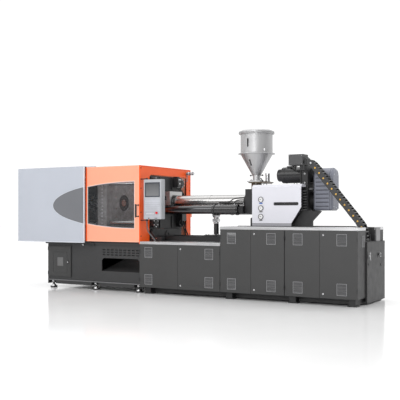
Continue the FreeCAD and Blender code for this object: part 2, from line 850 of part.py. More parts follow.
def guard_frame():
    """Posts and rails that carry the sliding doors, bolted to the bed."""
    pieces = []
    for low, high in (("-746", "-716"), ("716", "746")):
        pieces.append(box(("-2860", "panel_left"), (low, high), ("2060", "2125")))
        pieces.append(box(("flange_left", "panel_left"), (low, high), ("bed_top", "858")))
        for x in ("flange_left", "-2000", "-600"):
            pieces.append(box((x, f"{x} + 50"), (low, high), ("857", "2061")))
    for x in ("-2860", "flange_left"):
        pieces.append(box((x, f"{x} + 50"), ("-717", "717"), ("2060", "2125")))
    finish(fuse(pieces), "guard_frame")


def end_panel():
    """Painted end guard with its opening round the fixed platen, and the panel's hinge brackets."""
    plate = padded_body("YZ_Plane", [[("-guard_half_width", "bed_top"), ("guard_half_width", "bed_top"),
                                      ("guard_half_width", "guard_top"),
                                      ("-guard_half_width", "guard_top")]],
                        "panel_left", "panel_right")
    opening = padded_body("YZ_Plane", [[("opening_front", "bed_top - 1"), ("opening_back", "bed_top - 1"),
                                        ("opening_back", "opening_top"),
                                        ("opening_front", "opening_top")]],
                          "panel_left - 1", "panel_right + 1")
    top = DIMENSIONS["opening_top"]
    rounded(opening, "60", lambda edge: runs_along(edge, X_AXIS) and abs(edge.Vertexes[0].Z - top) < 1)
    brackets = []
    for low, high in (("panel_box_bottom - 24", "panel_box_bottom - 10"),
                      ("panel_box_top + 6", "panel_box_top + 20")):
        brackets.append(box(("panel_right - 1", "swing_x"), ("swing_y - 25", "swing_y + 25"),
                            (low, high)))
        brackets.append(cylinder("25", "z", (low, high), ("swing_x", "swing_y")))
    pins = [
        cylinder("10", "z", ("panel_box_bottom - 12", "panel_box_bottom + 18"), ("swing_x", "swing_y")),
        cylinder("10", "z", ("panel_box_top - 18", "panel_box_top + 8"), ("swing_x", "swing_y")),
        cylinder("22", "z", ("panel_box_bottom - 12", "panel_box_bottom - running_gap"),
                 ("swing_x", "swing_y")),
    ]
    finish(fuse([cut(plate, [opening])] + brackets + pins), "end_panel")


def half_ellipse(grow, y_low, y_high):
    """Right part of a lying ellipse, cut off at the door's window edges."""
    curve = doc.addObject("Part::Ellipse", "ellipse")
    bind(curve, "MajorRadius", f"window_half_length + {grow}")
    bind(curve, "MinorRadius", f"window_half_height + {grow}")
    curve.Placement.Rotation = FreeCAD.Rotation(FreeCAD.Vector(1, 0, 0), 90)
    place(curve, "window_centre_x", y_high, "window_centre_z")
    solid = doc.addObject("Part::Extrusion", "lens")
    solid.Base = curve
    solid.DirMode = "Custom"
    solid.Dir = FreeCAD.Vector(0, -1, 0)
    solid.Solid = True
    bind(solid, "LengthFwd", f"({y_high}) - ({y_low})")
    keep = box((f"window_left - {grow}", f"window_centre_x + {grow}"), (f"{y_low} - 1", f"{y_high} + 1"),
               ("window_centre_z - 500", "window_centre_z + 500"))
    return common(solid, keep)


def sliding_doors():
    front = "-guard_half_width"
    inner = "slide_door_thickness - guard_half_width"
    plate = box(("door_left", "door_right"), (front, inner), ("guard_bottom", "guard_top"))
    hollow = box(("door_left + 24", "door_right - 24"), (f"{front} + 5", f"{inner} + 1"),
                 ("guard_bottom + 24", "guard_top - 24"))
    hole = half_ellipse("0", f"{front} - 1", f"{inner} + 1")
    finish(cut(plate, [hollow, hole]), "front_door")
    finish(half_ellipse("window_lap", f"{front} + 5", f"{front} + 11"), "front_window")
    grip_y = f"{front} - 82"
    grip = cylinder("11", "z", ("1262", "1486"), ("door_right - 10", grip_y))
    arms = [
        cylinder("8", "y", (grip_y, front), ("door_right - 10", z)) for z in ("1280", "1468")
    ]
    finish(fuse([grip] + arms), "front_handle")
    rear_plate = box(("door_left", "door_right"), (f"-({inner})", f"-({front})"),
                     ("guard_bottom", "guard_top"))
    rear_hollow = box(("door_left + 24", "door_right - 24"), (f"-({inner}) - 1", f"-({front}) - 5"),
                      ("guard_bottom + 24", "guard_top - 24"))
    lip = box(("door_right - 30", "door_right - 10"), (f"-({front}) - 1", f"-({front}) + 93"),
              ("1262", "1486"))
    finish(fuse([cut(rear_plate, [rear_hollow]), lip]), "rear_door")


def alarm_lamp():
    body = cylinder("30", "x", ("panel_right + 30", "panel_right + 155"), ("663", "2060"))
    neck = cylinder("16", "x", ("panel_right", "panel_right + 31"), ("663", "2060"))
    pipe = cylinder("8", "z", ("1915", "2050"), ("panel_right + 16", "663"))
    clip = box(("panel_right", "panel_right + 10"), ("655", "671"), ("1915", "1925"))
    bridge = box(("panel_right + 9", "panel_right + 16"), ("655", "671"), ("1915", "1925"))
    finish(fuse([body, neck, pipe, clip, bridge]), "alarm_lamp")


# ---------------------------------------------------------------- operator panel

def operator_panel():
    outline = [("panel_box_left", "panel_box_bottom"), ("panel_box_right", "panel_box_bottom"),
               ("panel_box_right", "panel_box_top"), ("panel_box_left", "panel_box_top")]
    case = padded_body("XZ_Plane", [outline], "panel_box_front", "panel_box_back")
    rounded(case, "14", lambda edge: runs_along(edge, Y_AXIS))
    screen = box(("screen_left", "screen_right"), ("panel_box_front - 1", "panel_box_front + 3"),
                 ("screen_bottom", "screen_top"))
    stop_hole = cylinder("12 + bore_gap * 5", "y", ("panel_box_front - 1", "panel_box_front + 40"),
                         ("stop_x", "stop_z"))
    sockets = [
        cylinder("10 + bore_gap", "z", ("panel_box_bottom - 1", "panel_box_bottom + 20"),
                 ("swing_x", "swing_y")),
        cylinder("10 + bore_gap", "z", ("panel_box_top - 20", "panel_box_top + 1"),
                 ("swing_x", "swing_y")),
    ]
    finish(cut(case, [screen, stop_hole] + sockets), "operator_panel")
    head = cylinder("stop_radius", "y", ("panel_box_front - 24", "panel_box_front - 9"),
                    ("stop_x", "stop_z"))
    stem = cylinder("12", "y", ("panel_box_front - 10", "panel_box_front + 28"), ("stop_x", "stop_z"))
    finish(fuse([head, stem]), "stop_button")


CONDUIT_ROUTE = (
    (-425, -752, 1210), (-425, -752, 1110), (-395, -750, 1010), (-310, -748, 940), (-250, -746, 860),
)
CONDUIT_RADIUS = 10


def tube_along(points, radius):
    """Straight runs joined by tangent arcs, swept with a round section."""
    spots = [FreeCAD.Vector(*point) for point in points]
    edges = []
    start = spots[0]
    for before, corner, after in zip(spots, spots[1:], spots[2:]):
        run_in = (corner - before).Length
        run_out = (after - corner).Length
        turn = (corner - before).getAngle(after - corner)
        reach = 0.45 * min(run_in, run_out)
        bend = reach / math.tan(turn / 2)
        print(f"conduit bend radius {bend:.0f} mm")
        arc_in = corner + (before - corner).normalize() * reach
        arc_out = corner + (after - corner).normalize() * reach
        inward = ((before - corner).normalize() + (after - corner).normalize()).normalize()
        middle = corner + inward * (bend / math.cos(turn / 2) - bend)
        edges.append(Part.LineSegment(start, arc_in).toShape())
        edges.append(Part.Arc(arc_in, middle, arc_out).toShape())
        start = arc_out
    edges.append(Part.LineSegment(start, spots[-1]).toShape())
    path = Part.Wire(edges)
    circle = Part.Wire(Part.makeCircle(radius, spots[0], spots[1] - spots[0]))
    tube = path.makePipeShell([circle], True, True)
    expected = math.pi * radius ** 2 * path.Length
    print(f"conduit volume {tube.Volume:.0f} of {expected:.0f} cubic mm, length {path.Length:.0f} mm")
    return tube


def panel_conduit():
    item = doc.addObject("Part::Feature", "conduit")
    item.Shape = tube_along(CONDUIT_ROUTE, CONDUIT_RADIUS)
    finish(item, "panel_conduit")


# ---------------------------------------------------------------- injection unit

def injection_rails():
    """Carriage rails on the high bed and the linking beams on the middle bed."""
    rails = []
    for low, high in (("-290", "-230"), ("230", "290")):
        rails.append(box(("high_left + 40", "2980"), (low, high),
                         ("high_top", "carriage_bottom - running_gap")))
        rails.append(box(("fixed_platen_right", "high_left"), (low, high), ("mid_top", "mid_top + 90")))
    finish(group(rails), "injection_rails")


def carriage():
    """Carriage casting: base, feed casting, injection cylinders, drive plate and its finned housing."""
    centre = ("0", "axis_height")
    base = box(("cover_left", "cover_cut_x"), ("-cover_half_width + 4", "cover_half_width - 4"),
               ("carriage_bottom", "carriage_top"))
    front_foot = padded_body("XZ_Plane",
                             [[("casting_left - 60", "carriage_bottom"),
                               ("cover_left + 1", "carriage_bottom"),
                                           ("cover_left + 1", "carriage_top + 90"),
                                           ("cover_left - 40", "carriage_top + 90"),
                                           ("casting_left - 60", "carriage_top")]],
                             "-330", "330")
    feed = box(("casting_left", "casting_right"), ("-casting_half_width", "casting_half_width"),
               ("carriage_top - 1", "casting_top"))
    flange = cylinder("132", "x", ("casting_left - 90", "casting_left + 1"), centre)
    cylinders = [cylinder("55", "x", ("casting_right - 1", "casting_right + 250"),
                          (f"{side} * 170", "axis_height"))
                 for side in ("-1", "1")]
    plate_span = ("drive_plate_left", "drive_plate_right")
    plate = [
        box(plate_span, ("-240", "-100"), ("carriage_bottom", "drive_plate_top - 70")),
        box(plate_span, ("-180", "180"), ("belt_cover_bottom", "drive_plate_top")),
        box(plate_span, ("179", "300"), ("belt_cover_bottom - 9", "drive_plate_top - 70")),
        box(plate_span, ("-307", "-179"), ("drive_plate_top - 71", "box_bottom - running_gap")),
        box(("drive_plate_right - 28", "drive_plate_right"), ("-362", "-179"),
            ("drive_plate_top - 71", "chain_height + 70")),
    ]
    # the rear foot reaches less far than the front one, and both lean out to the drive plate
    feet = []
    for shift, low, high in (("0", "-300", "-229"), ("-240", "229", "300")):
        corners = [(f"1930 + {shift}", "carriage_bottom"), (f"2312 + {shift}", "carriage_bottom"),
                   (f"2312 + {shift}", "drive_foot_top"), (f"2457 + {shift}", "belt_cover_bottom - 9"),
                   (f"2150 + {shift}", "belt_cover_bottom - 9"), (f"2029 + {shift}", "drive_foot_top"),
                   (f"1930 + {shift}", "drive_foot_top")]
        feet.append(padded_body("XZ_Plane", [corners], low, high))
    gap_under_ring = box(("casting_left - 61", "casting_left + 135"), ("-331", "331"),
                         ("carriage_bottom - 1", "axis_height - 190"))
    fins = []
    for step in range(4):
        low = f"drive_plate_right + {step} * 14 - 1"
        fins.append(cylinder("144", "x", (low, f"{low} + 7"), centre))
    hub = fuse([cylinder("130", "x", ("drive_plate_right - 1", "belt_cover_left - 5"), centre),
                cylinder("144", "x", ("belt_cover_left - 6", "belt_cover_left"), centre)])
    bores = [
        cylinder("barrel_radius + bore_gap", "x", ("casting_left - 91", "casting_right - 30"), centre),
        cylinder("shank_radius + 8", "x", ("casting_left", "belt_cover_left"), centre),
        cylinder("pulley_hub_radius + 6", "x", ("drive_plate_right + 4", "belt_cover_left + 1"), centre),
        cylinder("shank_radius + 2", "x", ("drive_plate_left - 1", "drive_plate_right + 1"),
                 ("0", "motor_height")),
        cylinder("throat_radius - 22", "z", ("axis_height", "casting_top + 1"), ("hopper_x", "0")),
    ]
    for side in ("-1", "1"):
        bores.append(cylinder("25 + bore_gap", "x", ("casting_right + 20", "casting_right + 251"),
                              (f"{side} * 170", "axis_height")))
    body = fuse([base, front_foot, feed, flange, hub] + plate + feet + cylinders + fins)
    finish(cut(body, bores + [gap_under_ring]), "carriage")


def barrel():
    left = "barrel_left"
    body = turned_body([(left, "screw_radius"), ("casting_right - 30", "screw_radius"),
                        ("casting_right - 30", "barrel_radius"), (left, "barrel_radius")], "x")
    throat = cylinder("throat_radius - 24", "z", ("axis_height", "axis_height + 80"), ("hopper_x", "0"))
    finish(cut(body, [throat]), "barrel")


def nozzle():
    seat = "barrel_left"
    corners = [(f"{seat} - 235", "4"), (seat, "4"), (seat, "58"), (f"{seat} - 60", "58"),
               (f"{seat} - 90", "34"),
               (f"{seat} - 210", "34"), (f"{seat} - 235", "14")]
    finish(turned_body(corners, "x"), "nozzle")


def barrel_cover():
    corners = [("jacket_left", "barrel_radius + 6"), ("jacket_left", "jacket_radius"),
               ("jacket_right", "jacket_radius"), ("jacket_right", "jacket_radius - 3"),
               ("jacket_left + 8", "jacket_radius - 3"), ("jacket_left + 8", "barrel_radius + 6")]
    finish(turned_body(corners, "x"), "barrel_cover")


def feed_screw():
    tip = "barrel_left"
    corners = [(f"{tip} + 12", "0"), ("shank_right", "0"), ("shank_right", "shank_radius"),
               ("casting_right - 20", "shank_radius"), ("casting_right - 20", "screw_radius - bore_gap"),
               (f"{tip} + 60", "screw_radius - bore_gap")]
    finish(turned_body(corners, "x"), "feed_screw")


def injection_ram():
    """Ram plate that carries the screw's thrust bearing, with two piston rods."""
    plate = box(("1640", "1720"), ("-240", "240"), ("axis_height - 110", "axis_height + 110"))
    bore = cylinder("shank_radius + bore_gap", "x", ("1639", "1721"), ("0", "axis_height"))
    rods = [cylinder("25", "x", ("casting_right + 30", "1641"), (f"{side} * 170", "axis_height"))
            for side in ("-1", "1")]
    finish(fuse([cut(plate, [bore])] + rods), "injection_ram")


def nozzle_guard():
    """Sheet hood over the nozzle: a top and a front wall that swing up about the top's back edge."""
    span = ("fixed_platen_right + 18", "-330")
    top = box(span, ("-205", "205"), ("1706", "1710"))
    front = box(span, ("-205", "-201"), ("1470", "1707"))
    knuckles = [cylinder("6", "x", (low, f"{low} + 50"), ("205", "1708")) for low in ("-520", "-400")]
    finish(fuse([top, front] + knuckles), "nozzle_guard")


def traverse_cylinders():
    rods, bodies = [], []
    for side in ("-1", "1"):
        centre = (f"{side} * traverse_y", "traverse_z")
        rods.append(cylinder("traverse_rod_radius", "x", ("fixed_platen_right", "925"), centre))
        tube = cylinder("traverse_body_radius", "x", ("600", "1060"), centre)
        rings = [cylinder("traverse_body_radius + 9", "x", (low, f"{low} + 26"), centre)
                 for low in ("600", "1020")]
        lug = box(("1055", "casting_left - 50"),
                  (f"{side} * traverse_y - 40", f"{side} * traverse_y + 40"),
                  ("traverse_z - 40", "traverse_z + 40"))
        link = box(("casting_left - 60", "casting_left + 1"),
                   (f"{side} * 272 - 68", f"{side} * 272 + 68"),
                   ("traverse_z - 60", "traverse_z + 60"))
        bore = cylinder("traverse_rod_radius + bore_gap", "x", ("599", "1036"), centre)
        bodies.append(cut(fuse([tube, lug, link] + rings), [bore]))
    finish(group(rods), "traverse_rods")
    room = [box(("casting_left", "casting_left + 2"), ("-casting_half_width", "casting_half_width"),
                ("1300", "1460"))]
    finish(cut(group(bodies), room), "traverse_cylinders")


def barrel_support():
    flange = box(("support_x - 110", "support_x + 110"), ("-229", "229"), ("mid_top", "mid_top + 110"))
    post = cylinder("42", "z", ("mid_top + 110", "1155"), ("support_x", "0"))
    screw = cylinder("24", "z", ("1155", "1300"), ("support_x", "0"))
    cradle = box(("support_x - 30", "support_x + 30"), ("-70", "70"), ("1300", "1400"))
    finish(fuse([flange, post, screw, cradle]), "barrel_support")


def injection_cover():
    """Folded cover over the injection slide, bevelled along its top edges and cut away over the rear foot."""
    outline = [("cover_left", "carriage_top + running_gap"),
               ("cover_cut_x", "carriage_top + running_gap"),
               ("cover_right", "cover_cut_z"), ("cover_right", "cover_top"), ("cover_left", "cover_top")]
    body = padded_body("XZ_Plane", [outline], "-cover_half_width", "cover_half_width")
    tip = body.Tip
    top = DIMENSIONS["cover_top"]
    names = [
        f"Edge{i}" for i, edge in enumerate(tip.Shape.Edges, start=1)
        if runs_along(edge, X_AXIS) and abs(edge.Vertexes[0].Z - top) < 1
    ]
    bevel = body.newObject("PartDesign::Chamfer", "bevel")
    bevel.Base = (tip, names)
    bind(bevel, "Size", "cover_bevel")
    doc.recompute()
    room = box(("cover_left + sheet", "cover_right + 1"),
               ("sheet - cover_half_width", "cover_half_width - sheet"),
               ("carriage_top - 1", "cover_top - cover_bevel - sheet"))
    front_mouth = box(("cover_left - 1", "cover_left + sheet + 1"), ("-340", "340"),
                      ("carriage_top - 1", "casting_top + 10"))
    slot = box(("1741", "2138"), ("-cover_half_width - 1", "sheet - cover_half_width + 1"),
               ("1459", "1492"))
    plate_notch = box(("drive_plate_left - 1", "cover_right + 1"), ("-241", "301"),
                      ("carriage_top", "cover_top + 1"))
    rear_corner = box(("cover_cut_x - 30", "cover_right + 1"), ("340", "cover_half_width + 1"),
                      ("carriage_top", "carriage_top + 130"))
    finish(cut(body, [room, front_mouth, slot, plate_notch, rear_corner]), "injection_cover")


def hopper():
    """Material hopper: cylinder, cone and neck from thin sheet, with two flanges."""
    skin = "hopper_sheet"
    corners = [
        ("throat_radius - 22", "hopper_base"), ("throat_radius + 48", "hopper_base"),
        ("throat_radius + 48", "hopper_base + 12"), ("throat_radius", "hopper_base + 12"),
        ("throat_radius", "cone_bottom"), ("throat_radius + 12", "cone_bottom"),
        ("hopper_radius", "hopper_seam"), ("hopper_rim", "hopper_seam"),
        ("hopper_rim", "hopper_seam + 16"), ("hopper_radius", "hopper_seam + 16"),
        ("hopper_radius", "hopper_top - 22"), ("hopper_rim - 8", "hopper_top - 22"),
        ("hopper_rim - 8", "hopper_top"), (f"hopper_radius - {skin}", "hopper_top"),
        (f"hopper_radius - {skin}", "hopper_seam"),
        (f"throat_radius + 12 - {skin} - 3", "cone_bottom + 4"),
        ("throat_radius - 22", "cone_bottom - 20"),
    ]
    body = turned_body(corners, "z")
    place(body, x="hopper_x")
    shoe = box(("1110", "1350"), ("-112", "112"), ("slide_plate_top + running_gap", "hopper_base"))
    hole = cylinder("throat_radius - 22", "z", ("slide_plate_top", "hopper_base + 1"), ("hopper_x", "0"))
    finish(fuse([body, cut(shoe, [hole])]), "hopper")


def hopper_lid():
    corners = [("0", "hopper_top + 40"), ("0", "hopper_top + 36"), ("hopper_rim - 60", "hopper_top + 26"),
               ("hopper_rim - 20", "hopper_top + running_gap"),
               ("hopper_rim", "hopper_top + running_gap"),
               ("hopper_rim", "hopper_top + 20"), ("hopper_rim - 10", "hopper_top + 26"),
               ("hopper_rim - 50", "hopper_top + 44"), ("24", "hopper_top + 52"),
               ("24", "hopper_top + 60"),
               ("0", "hopper_top + 60")]
    body = turned_body(corners, "z")
    place(body, x="hopper_x")
    finish(body, "hopper_lid")


def hopper_slide():
    """Throat block, slide plate with its drain tube, and the rail the hopper shifts along."""
    block = cylinder("85", "z", ("casting_top", "slide_plate_bottom"), ("hopper_x", "0"))
    plate = box(("1140", "1480"), ("-115", "115"), ("slide_plate_bottom", "slide_plate_top"))
    tail = box(("1120", "1340"), ("114", "360"), ("slide_plate_bottom", "slide_plate_top"))
    tube = cylinder("37", "z", ("slide_plate_top - 1", "1976"), ("drain_x", "0"))
    bore = cylinder("throat_radius - 22", "z", ("casting_top - 1", "slide_plate_top + 1"),
                    ("hopper_x", "0"))
    finish(cut(fuse([block, plate, tail, tube]), [bore]), "hopper_slide")


def drive_train():
    """Motor, its pulley on the shaft, the screw pulley and the belt cover."""
    centre = ("0", "motor_height")
    barrel_part = cylinder("motor_radius", "x", ("motor_left + 78", "drive_plate_left"), centre)
    cap = cylinder("motor_radius - 32", "x", ("motor_left", "motor_left + 79"), centre)
    terminal = box(("1800", "1920"), ("-60", "60"), ("motor_height + 80", "motor_height + 140"))
    bore = cylinder("shank_radius + 2", "x", ("motor_left + 60", "drive_plate_left + 1"), centre)
    finish(cut(fuse([barrel_part, cap, terminal]), [bore]), "drive_motor")
    shaft = cylinder("shank_radius", "x", ("motor_left + 70", "pulley_left + pulley_width"), centre)
    wheel = cylinder("motor_pulley_radius", "x", ("pulley_left", "pulley_left + pulley_width"), centre)
    finish(fuse([shaft, wheel]), "motor_pulley")
    big = cylinder("screw_pulley_radius", "x", ("pulley_left", "pulley_left + pulley_width"),
                   ("0", "axis_height"))
    hub = cylinder("pulley_hub_radius", "x", ("pulley_left - pulley_hub", "pulley_left + 1"),
                   ("0", "axis_height"))
    spline = cylinder("shank_radius + bore_gap", "x",
                      ("pulley_left - pulley_hub - 1", "pulley_left + pulley_width + 1"),
                      ("0", "axis_height"))
    finish(cut(fuse([big, hub]), [spline]), "screw_pulley")


def arched_block(inset, low, high):
    """A block along X with a rounded top and softly rounded bottom, inset from the cover's outline."""
    half = f"(belt_cover_half_width - {inset})"
    outline = [(f"-{half}", f"belt_cover_bottom + {inset}"), (half, f"belt_cover_bottom + {inset}"),
               (half, f"belt_cover_top - {inset}"), (f"-{half}", f"belt_cover_top - {inset}")]
    body = padded_body("YZ_Plane", [outline], low, high)
    middle = DIMENSIONS["axis_height"]
    rounded(body, f"belt_cover_arch - {inset}",
            lambda edge: runs_along(edge, X_AXIS) and edge.Vertexes[0].Z > middle)
    rounded(body, f"40 - {inset}", lambda edge: runs_along(edge, X_AXIS) and edge.Vertexes[0].Z < middle)
    return body


def belt_cover():
    """Cover over the belt drive, rounded at the top, with a stepped outer end."""
    shell = arched_block("0", "belt_cover_left", "belt_cover_right - 30")
    end = arched_block("26", "belt_cover_right - 31", "belt_cover_right")
    room = arched_block("8", "belt_cover_left + 8", "belt_cover_right - 38")
    hole = cylinder("115", "x", ("belt_cover_left - 1", "belt_cover_left + 9"), ("0", "axis_height"))
    shaft = cylinder("40", "x", ("belt_cover_left - 1", "belt_cover_left + 9"), ("0", "motor_height"))
    finish(cut(fuse([shell, end]), [room, hole, shaft]), "belt_cover")


def junction_box():
    item = box(("box_left", "drive_plate_right - 30"), ("-357", "-150"), ("box_bottom", "box_top"))
    finish(item, "junction_box")


CHAIN_ROUTE = ((2222, 2120), (2305, 2120), (3135, 1112), (3140, 920))
CHAIN_BENDS = (150, 260)


def cable_chain():
    """Energy chain from the drive plate down to the recess, as one solid band."""
    spots = [FreeCAD.Vector(x, 0, z) for x, z in CHAIN_ROUTE]
    edges = []
    start = spots[0]
    for before, corner, after, bend in zip(spots, spots[1:], spots[2:], CHAIN_BENDS):
        turn = (corner - before).getAngle(after - corner)
        reach = bend * math.tan(turn / 2)
        arc_in = corner + (before - corner).normalize() * reach
        arc_out = corner + (after - corner).normalize() * reach
        inward = ((before - corner).normalize() + (after - corner).normalize()).normalize()
        middle = corner + inward * (bend / math.cos(turn / 2) - bend)
        edges.append(Part.LineSegment(start, arc_in).toShape())
        edges.append(Part.Arc(arc_in, middle, arc_out).toShape())
        start = arc_out
    edges.append(Part.LineSegment(start, spots[-1]).toShape())
    path = Part.Wire(edges)
    half = DIMENSIONS["chain_thickness"] / 2
    front = DIMENSIONS["chain_front"]
    back = front + DIMENSIONS["chain_width"]
    x, z = CHAIN_ROUTE[0]
    corners = [FreeCAD.Vector(x, y, z + up) for y,
               up in ((front, -half), (back, -half), (back, half), (front, half))]
    section = Part.makePolygon(corners + corners[:1])
    item = doc.addObject("Part::Feature", "chain")
    item.Shape = path.makePipeShell([section], True, True)
    finish(item, "cable_chain")


# ---------------------------------------------------------------- build and write

def check_everything():
    """Stop if any object failed or any finished sub-part is not a valid solid."""
    for item in doc.Objects:
        for word in ("Invalid", "Error"):
            if word in item.State:
                raise RuntimeError(f"{item.Label} ({item.Name}) is {item.State}")
    for item in finished:
        shape = item.Shape
        if shape.isNull() or not shape.isValid() or not shape.Solids:
            raise RuntimeError(f"{item.Label} has no valid solid")


def write_parts():
    os.makedirs("parts", exist_ok=True)
    for item in finished:
        item.Shape.exportStep(f"parts/{item.Label}.step")
        bounds = item.Shape.BoundBox
        print(f"{item.Label:20s} solids {len(item.Shape.Solids):2d} "
              f"x {bounds.XMin:8.1f} {bounds.XMax:8.1f}  y {bounds.YMin:7.1f} {bounds.YMax:7.1f}  "
              f"z {bounds.ZMin:7.1f} {bounds.ZMax:7.1f}")


def build():
    fill_sheet()
    clamp_bed()
    injection_bed()
    levelling_feet()
    cabinet_doors()
    cabinet_hinges()
    clamp_bed_door()
    end_controls()
    fixed_platen()
    tie_bars()
    tie_bar_nuts()
    tail_platen()
    clamp_cylinder()
    crosshead()
    rear_links()
    front_links()
    crosshead_links()
    moving_platen()
    ejector()
    clamp_shell()
    guard_frame()
    end_panel()
    sliding_doors()
    alarm_lamp()
    operator_panel()
    panel_conduit()
    injection_rails()
    carriage()
    barrel()
    nozzle()
    barrel_cover()
    feed_screw()
    injection_ram()
    nozzle_guard()
    traverse_cylinders()
    barrel_support()
    injection_cover()
    hopper()
    hopper_lid()
    hopper_slide()
    drive_train()
    belt_cover()
    junction_box()
    cable_chain()
    doc.recompute()
    check_everything()
    write_parts()


build()
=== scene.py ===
import bmesh
import bpy
import math
from mathutils import Matrix, Vector


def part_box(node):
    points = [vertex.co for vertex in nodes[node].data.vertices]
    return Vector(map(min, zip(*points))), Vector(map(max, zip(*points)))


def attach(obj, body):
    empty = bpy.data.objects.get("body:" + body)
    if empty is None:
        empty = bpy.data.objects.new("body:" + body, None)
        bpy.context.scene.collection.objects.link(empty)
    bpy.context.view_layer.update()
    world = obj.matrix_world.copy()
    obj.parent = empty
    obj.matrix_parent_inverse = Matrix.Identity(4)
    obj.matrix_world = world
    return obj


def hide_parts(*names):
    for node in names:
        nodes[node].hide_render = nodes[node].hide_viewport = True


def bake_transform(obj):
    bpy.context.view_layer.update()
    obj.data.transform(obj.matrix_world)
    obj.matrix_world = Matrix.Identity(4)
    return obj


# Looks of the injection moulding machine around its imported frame.
# Lengths are in metres in the machine's own frame: +X towards the injection end, the operator at -Y.

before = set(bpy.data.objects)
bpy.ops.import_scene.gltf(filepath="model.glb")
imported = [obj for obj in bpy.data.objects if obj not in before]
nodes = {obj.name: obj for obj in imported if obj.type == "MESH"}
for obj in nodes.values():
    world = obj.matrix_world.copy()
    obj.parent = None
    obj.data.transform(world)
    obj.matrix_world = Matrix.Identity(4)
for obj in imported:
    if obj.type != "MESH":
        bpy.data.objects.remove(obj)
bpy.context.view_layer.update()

AXIS_Z = 1.52          # height of the clamp and barrel axis
SHEET = 0.003          # thickness of trims and thin sheet
FINE = 0.001           # how far a detail sinks into, or stays off, the surface under it


def grid(firsts, seconds):
    """Every pair of a first and a second place."""
    return [(first, second) for first in firsts for second in seconds]


def shares(count):
    """Even steps from 0 to 1."""
    return [step / count for step in range(count + 1)]


TIE_BARS = grid((-0.42, 0.42), (1.17, 1.87))     # y and z of the four tie bars


# ---------------------------------------------------------------- camera, floor and light

def add_camera():
    """The photo's view: level, 1.30 m above the floor, fitted to the machine's straight edges."""
    data = bpy.data.cameras.new("camera")
    data.lens = 65.86
    data.sensor_width = 36
    data.shift_y = 0.038
    data.clip_end = 200
    camera = bpy.data.objects.new("camera", data)
    camera.location = (6.5554, -10.7476, 1.3)
    camera.rotation_euler = (math.radians(90), 0, math.radians(30.78))
    bpy.context.scene.collection.objects.link(camera)
    bpy.context.scene.camera = camera


def add_softbox(name, place, target, size, power):
    """A rectangular area light that looks at a target."""
    data = bpy.data.lights.new(name, "AREA")
    data.shape = "RECTANGLE"
    data.size, data.size_y = size
    data.energy = power
    light = bpy.data.objects.new(name, data)
    light.location = place
    light.rotation_euler = (Vector(target) - Vector(place)).to_track_quat("-Z", "Y").to_euler()
    bpy.context.scene.collection.objects.link(light)


def add_lights():
    """Four area lights: key, weak side light, overhead and a low fill on the operator's side."""
    add_softbox("key", (-3.5, -8.0, 6.0), (0, 0, 1.2), (5.0, 4.0), 170)
    add_softbox("side", (9.0, -3.0, 5.0), (1.5, 0, 1.2), (3.0, 4.0), 15)
    add_softbox("overhead", (0, 1.0, 8.0), (0, 0, 0), (9.0, 5.0), 170)
    add_softbox("fill", (2.6, -9.0, 2.8), (-1.2, 0, 1.5), (2.4, 1.8), 190)


def add_world():
    """White studio behind and above the machine, greyer low down on the operator's side and at the right end."""
    world = bpy.data.worlds.new("studio")
    bpy.context.scene.world = world
    world.use_nodes = True
    tree = world.node_tree
    tree.nodes.clear()
    place = tree.nodes.new("ShaderNodeTexCoord")
    split = tree.nodes.new("ShaderNodeSeparateXYZ")
    far = tree.nodes.new("ShaderNodeVectorMath")
    far.operation = "DOT_PRODUCT"
    far.inputs[1].default_value = (-0.51, 0.86, 0.0)
    larger = tree.nodes.new("ShaderNodeMath")
    larger.operation = "MAXIMUM"
    light = tree.nodes.new("ShaderNodeBackground")
    out = tree.nodes.new("ShaderNodeOutputWorld")
    tree.links.new(place.outputs["Generated"], split.inputs[0])
    tree.links.new(ranged(tree, split.outputs["Z"], 0.0, 1.0, 0.1, 0.5), larger.inputs[0])
    tree.links.new(place.outputs["Generated"], far.inputs[0])
    tree.links.new(ranged(tree, far.outputs["Value"], 0.0, 1.0, -0.35, 0.25), larger.inputs[1])
    tone = blend_colours(tree, larger.outputs[0], (0.3, 0.3, 0.305), (1.0, 1.0, 1.0))
    tree.links.new(tone, light.inputs["Color"])
    light.inputs["Strength"].default_value = 1.08
    tree.links.new(light.outputs[0], out.inputs["Surface"])
    bpy.context.scene.view_settings.view_transform = "Standard"


# ---------------------------------------------------------------- materials

def shader_base(name):
    """A material with its Principled shader, and the object coordinates that drive its patterns."""
    made = bpy.data.materials.new(name)
    made.use_nodes = True
    tree = made.node_tree
    shader = tree.nodes["Principled BSDF"]
    place = tree.nodes.new("ShaderNodeTexCoord").outputs["Object"]
    return made, tree, shader, place


def stretched(tree, place, scale):
    """The object coordinates scaled along each axis."""
    mapping = tree.nodes.new("ShaderNodeMapping")
    mapping.inputs["Scale"].default_value = scale
    tree.links.new(place, mapping.inputs["Vector"])
    return mapping.outputs["Vector"]


def noise(tree, place, scale, detail=4.0, roughness=0.55):
    """A noise pattern over the object coordinates."""
    node = tree.nodes.new("ShaderNodeTexNoise")
    node.inputs["Scale"].default_value = scale
    node.inputs["Detail"].default_value = detail
    node.inputs["Roughness"].default_value = roughness
    tree.links.new(place, node.inputs["Vector"])
    return node.outputs["Fac"]


def ranged(tree, value, low, high, start=0.3, stop=0.7):
    """Map a pattern value onto a range."""
    node = tree.nodes.new("ShaderNodeMapRange")
    node.inputs["From Min"].default_value = start
    node.inputs["From Max"].default_value = stop
    node.inputs["To Min"].default_value = low
    node.inputs["To Max"].default_value = high
    tree.links.new(value, node.inputs["Value"])
    return node.outputs["Result"]


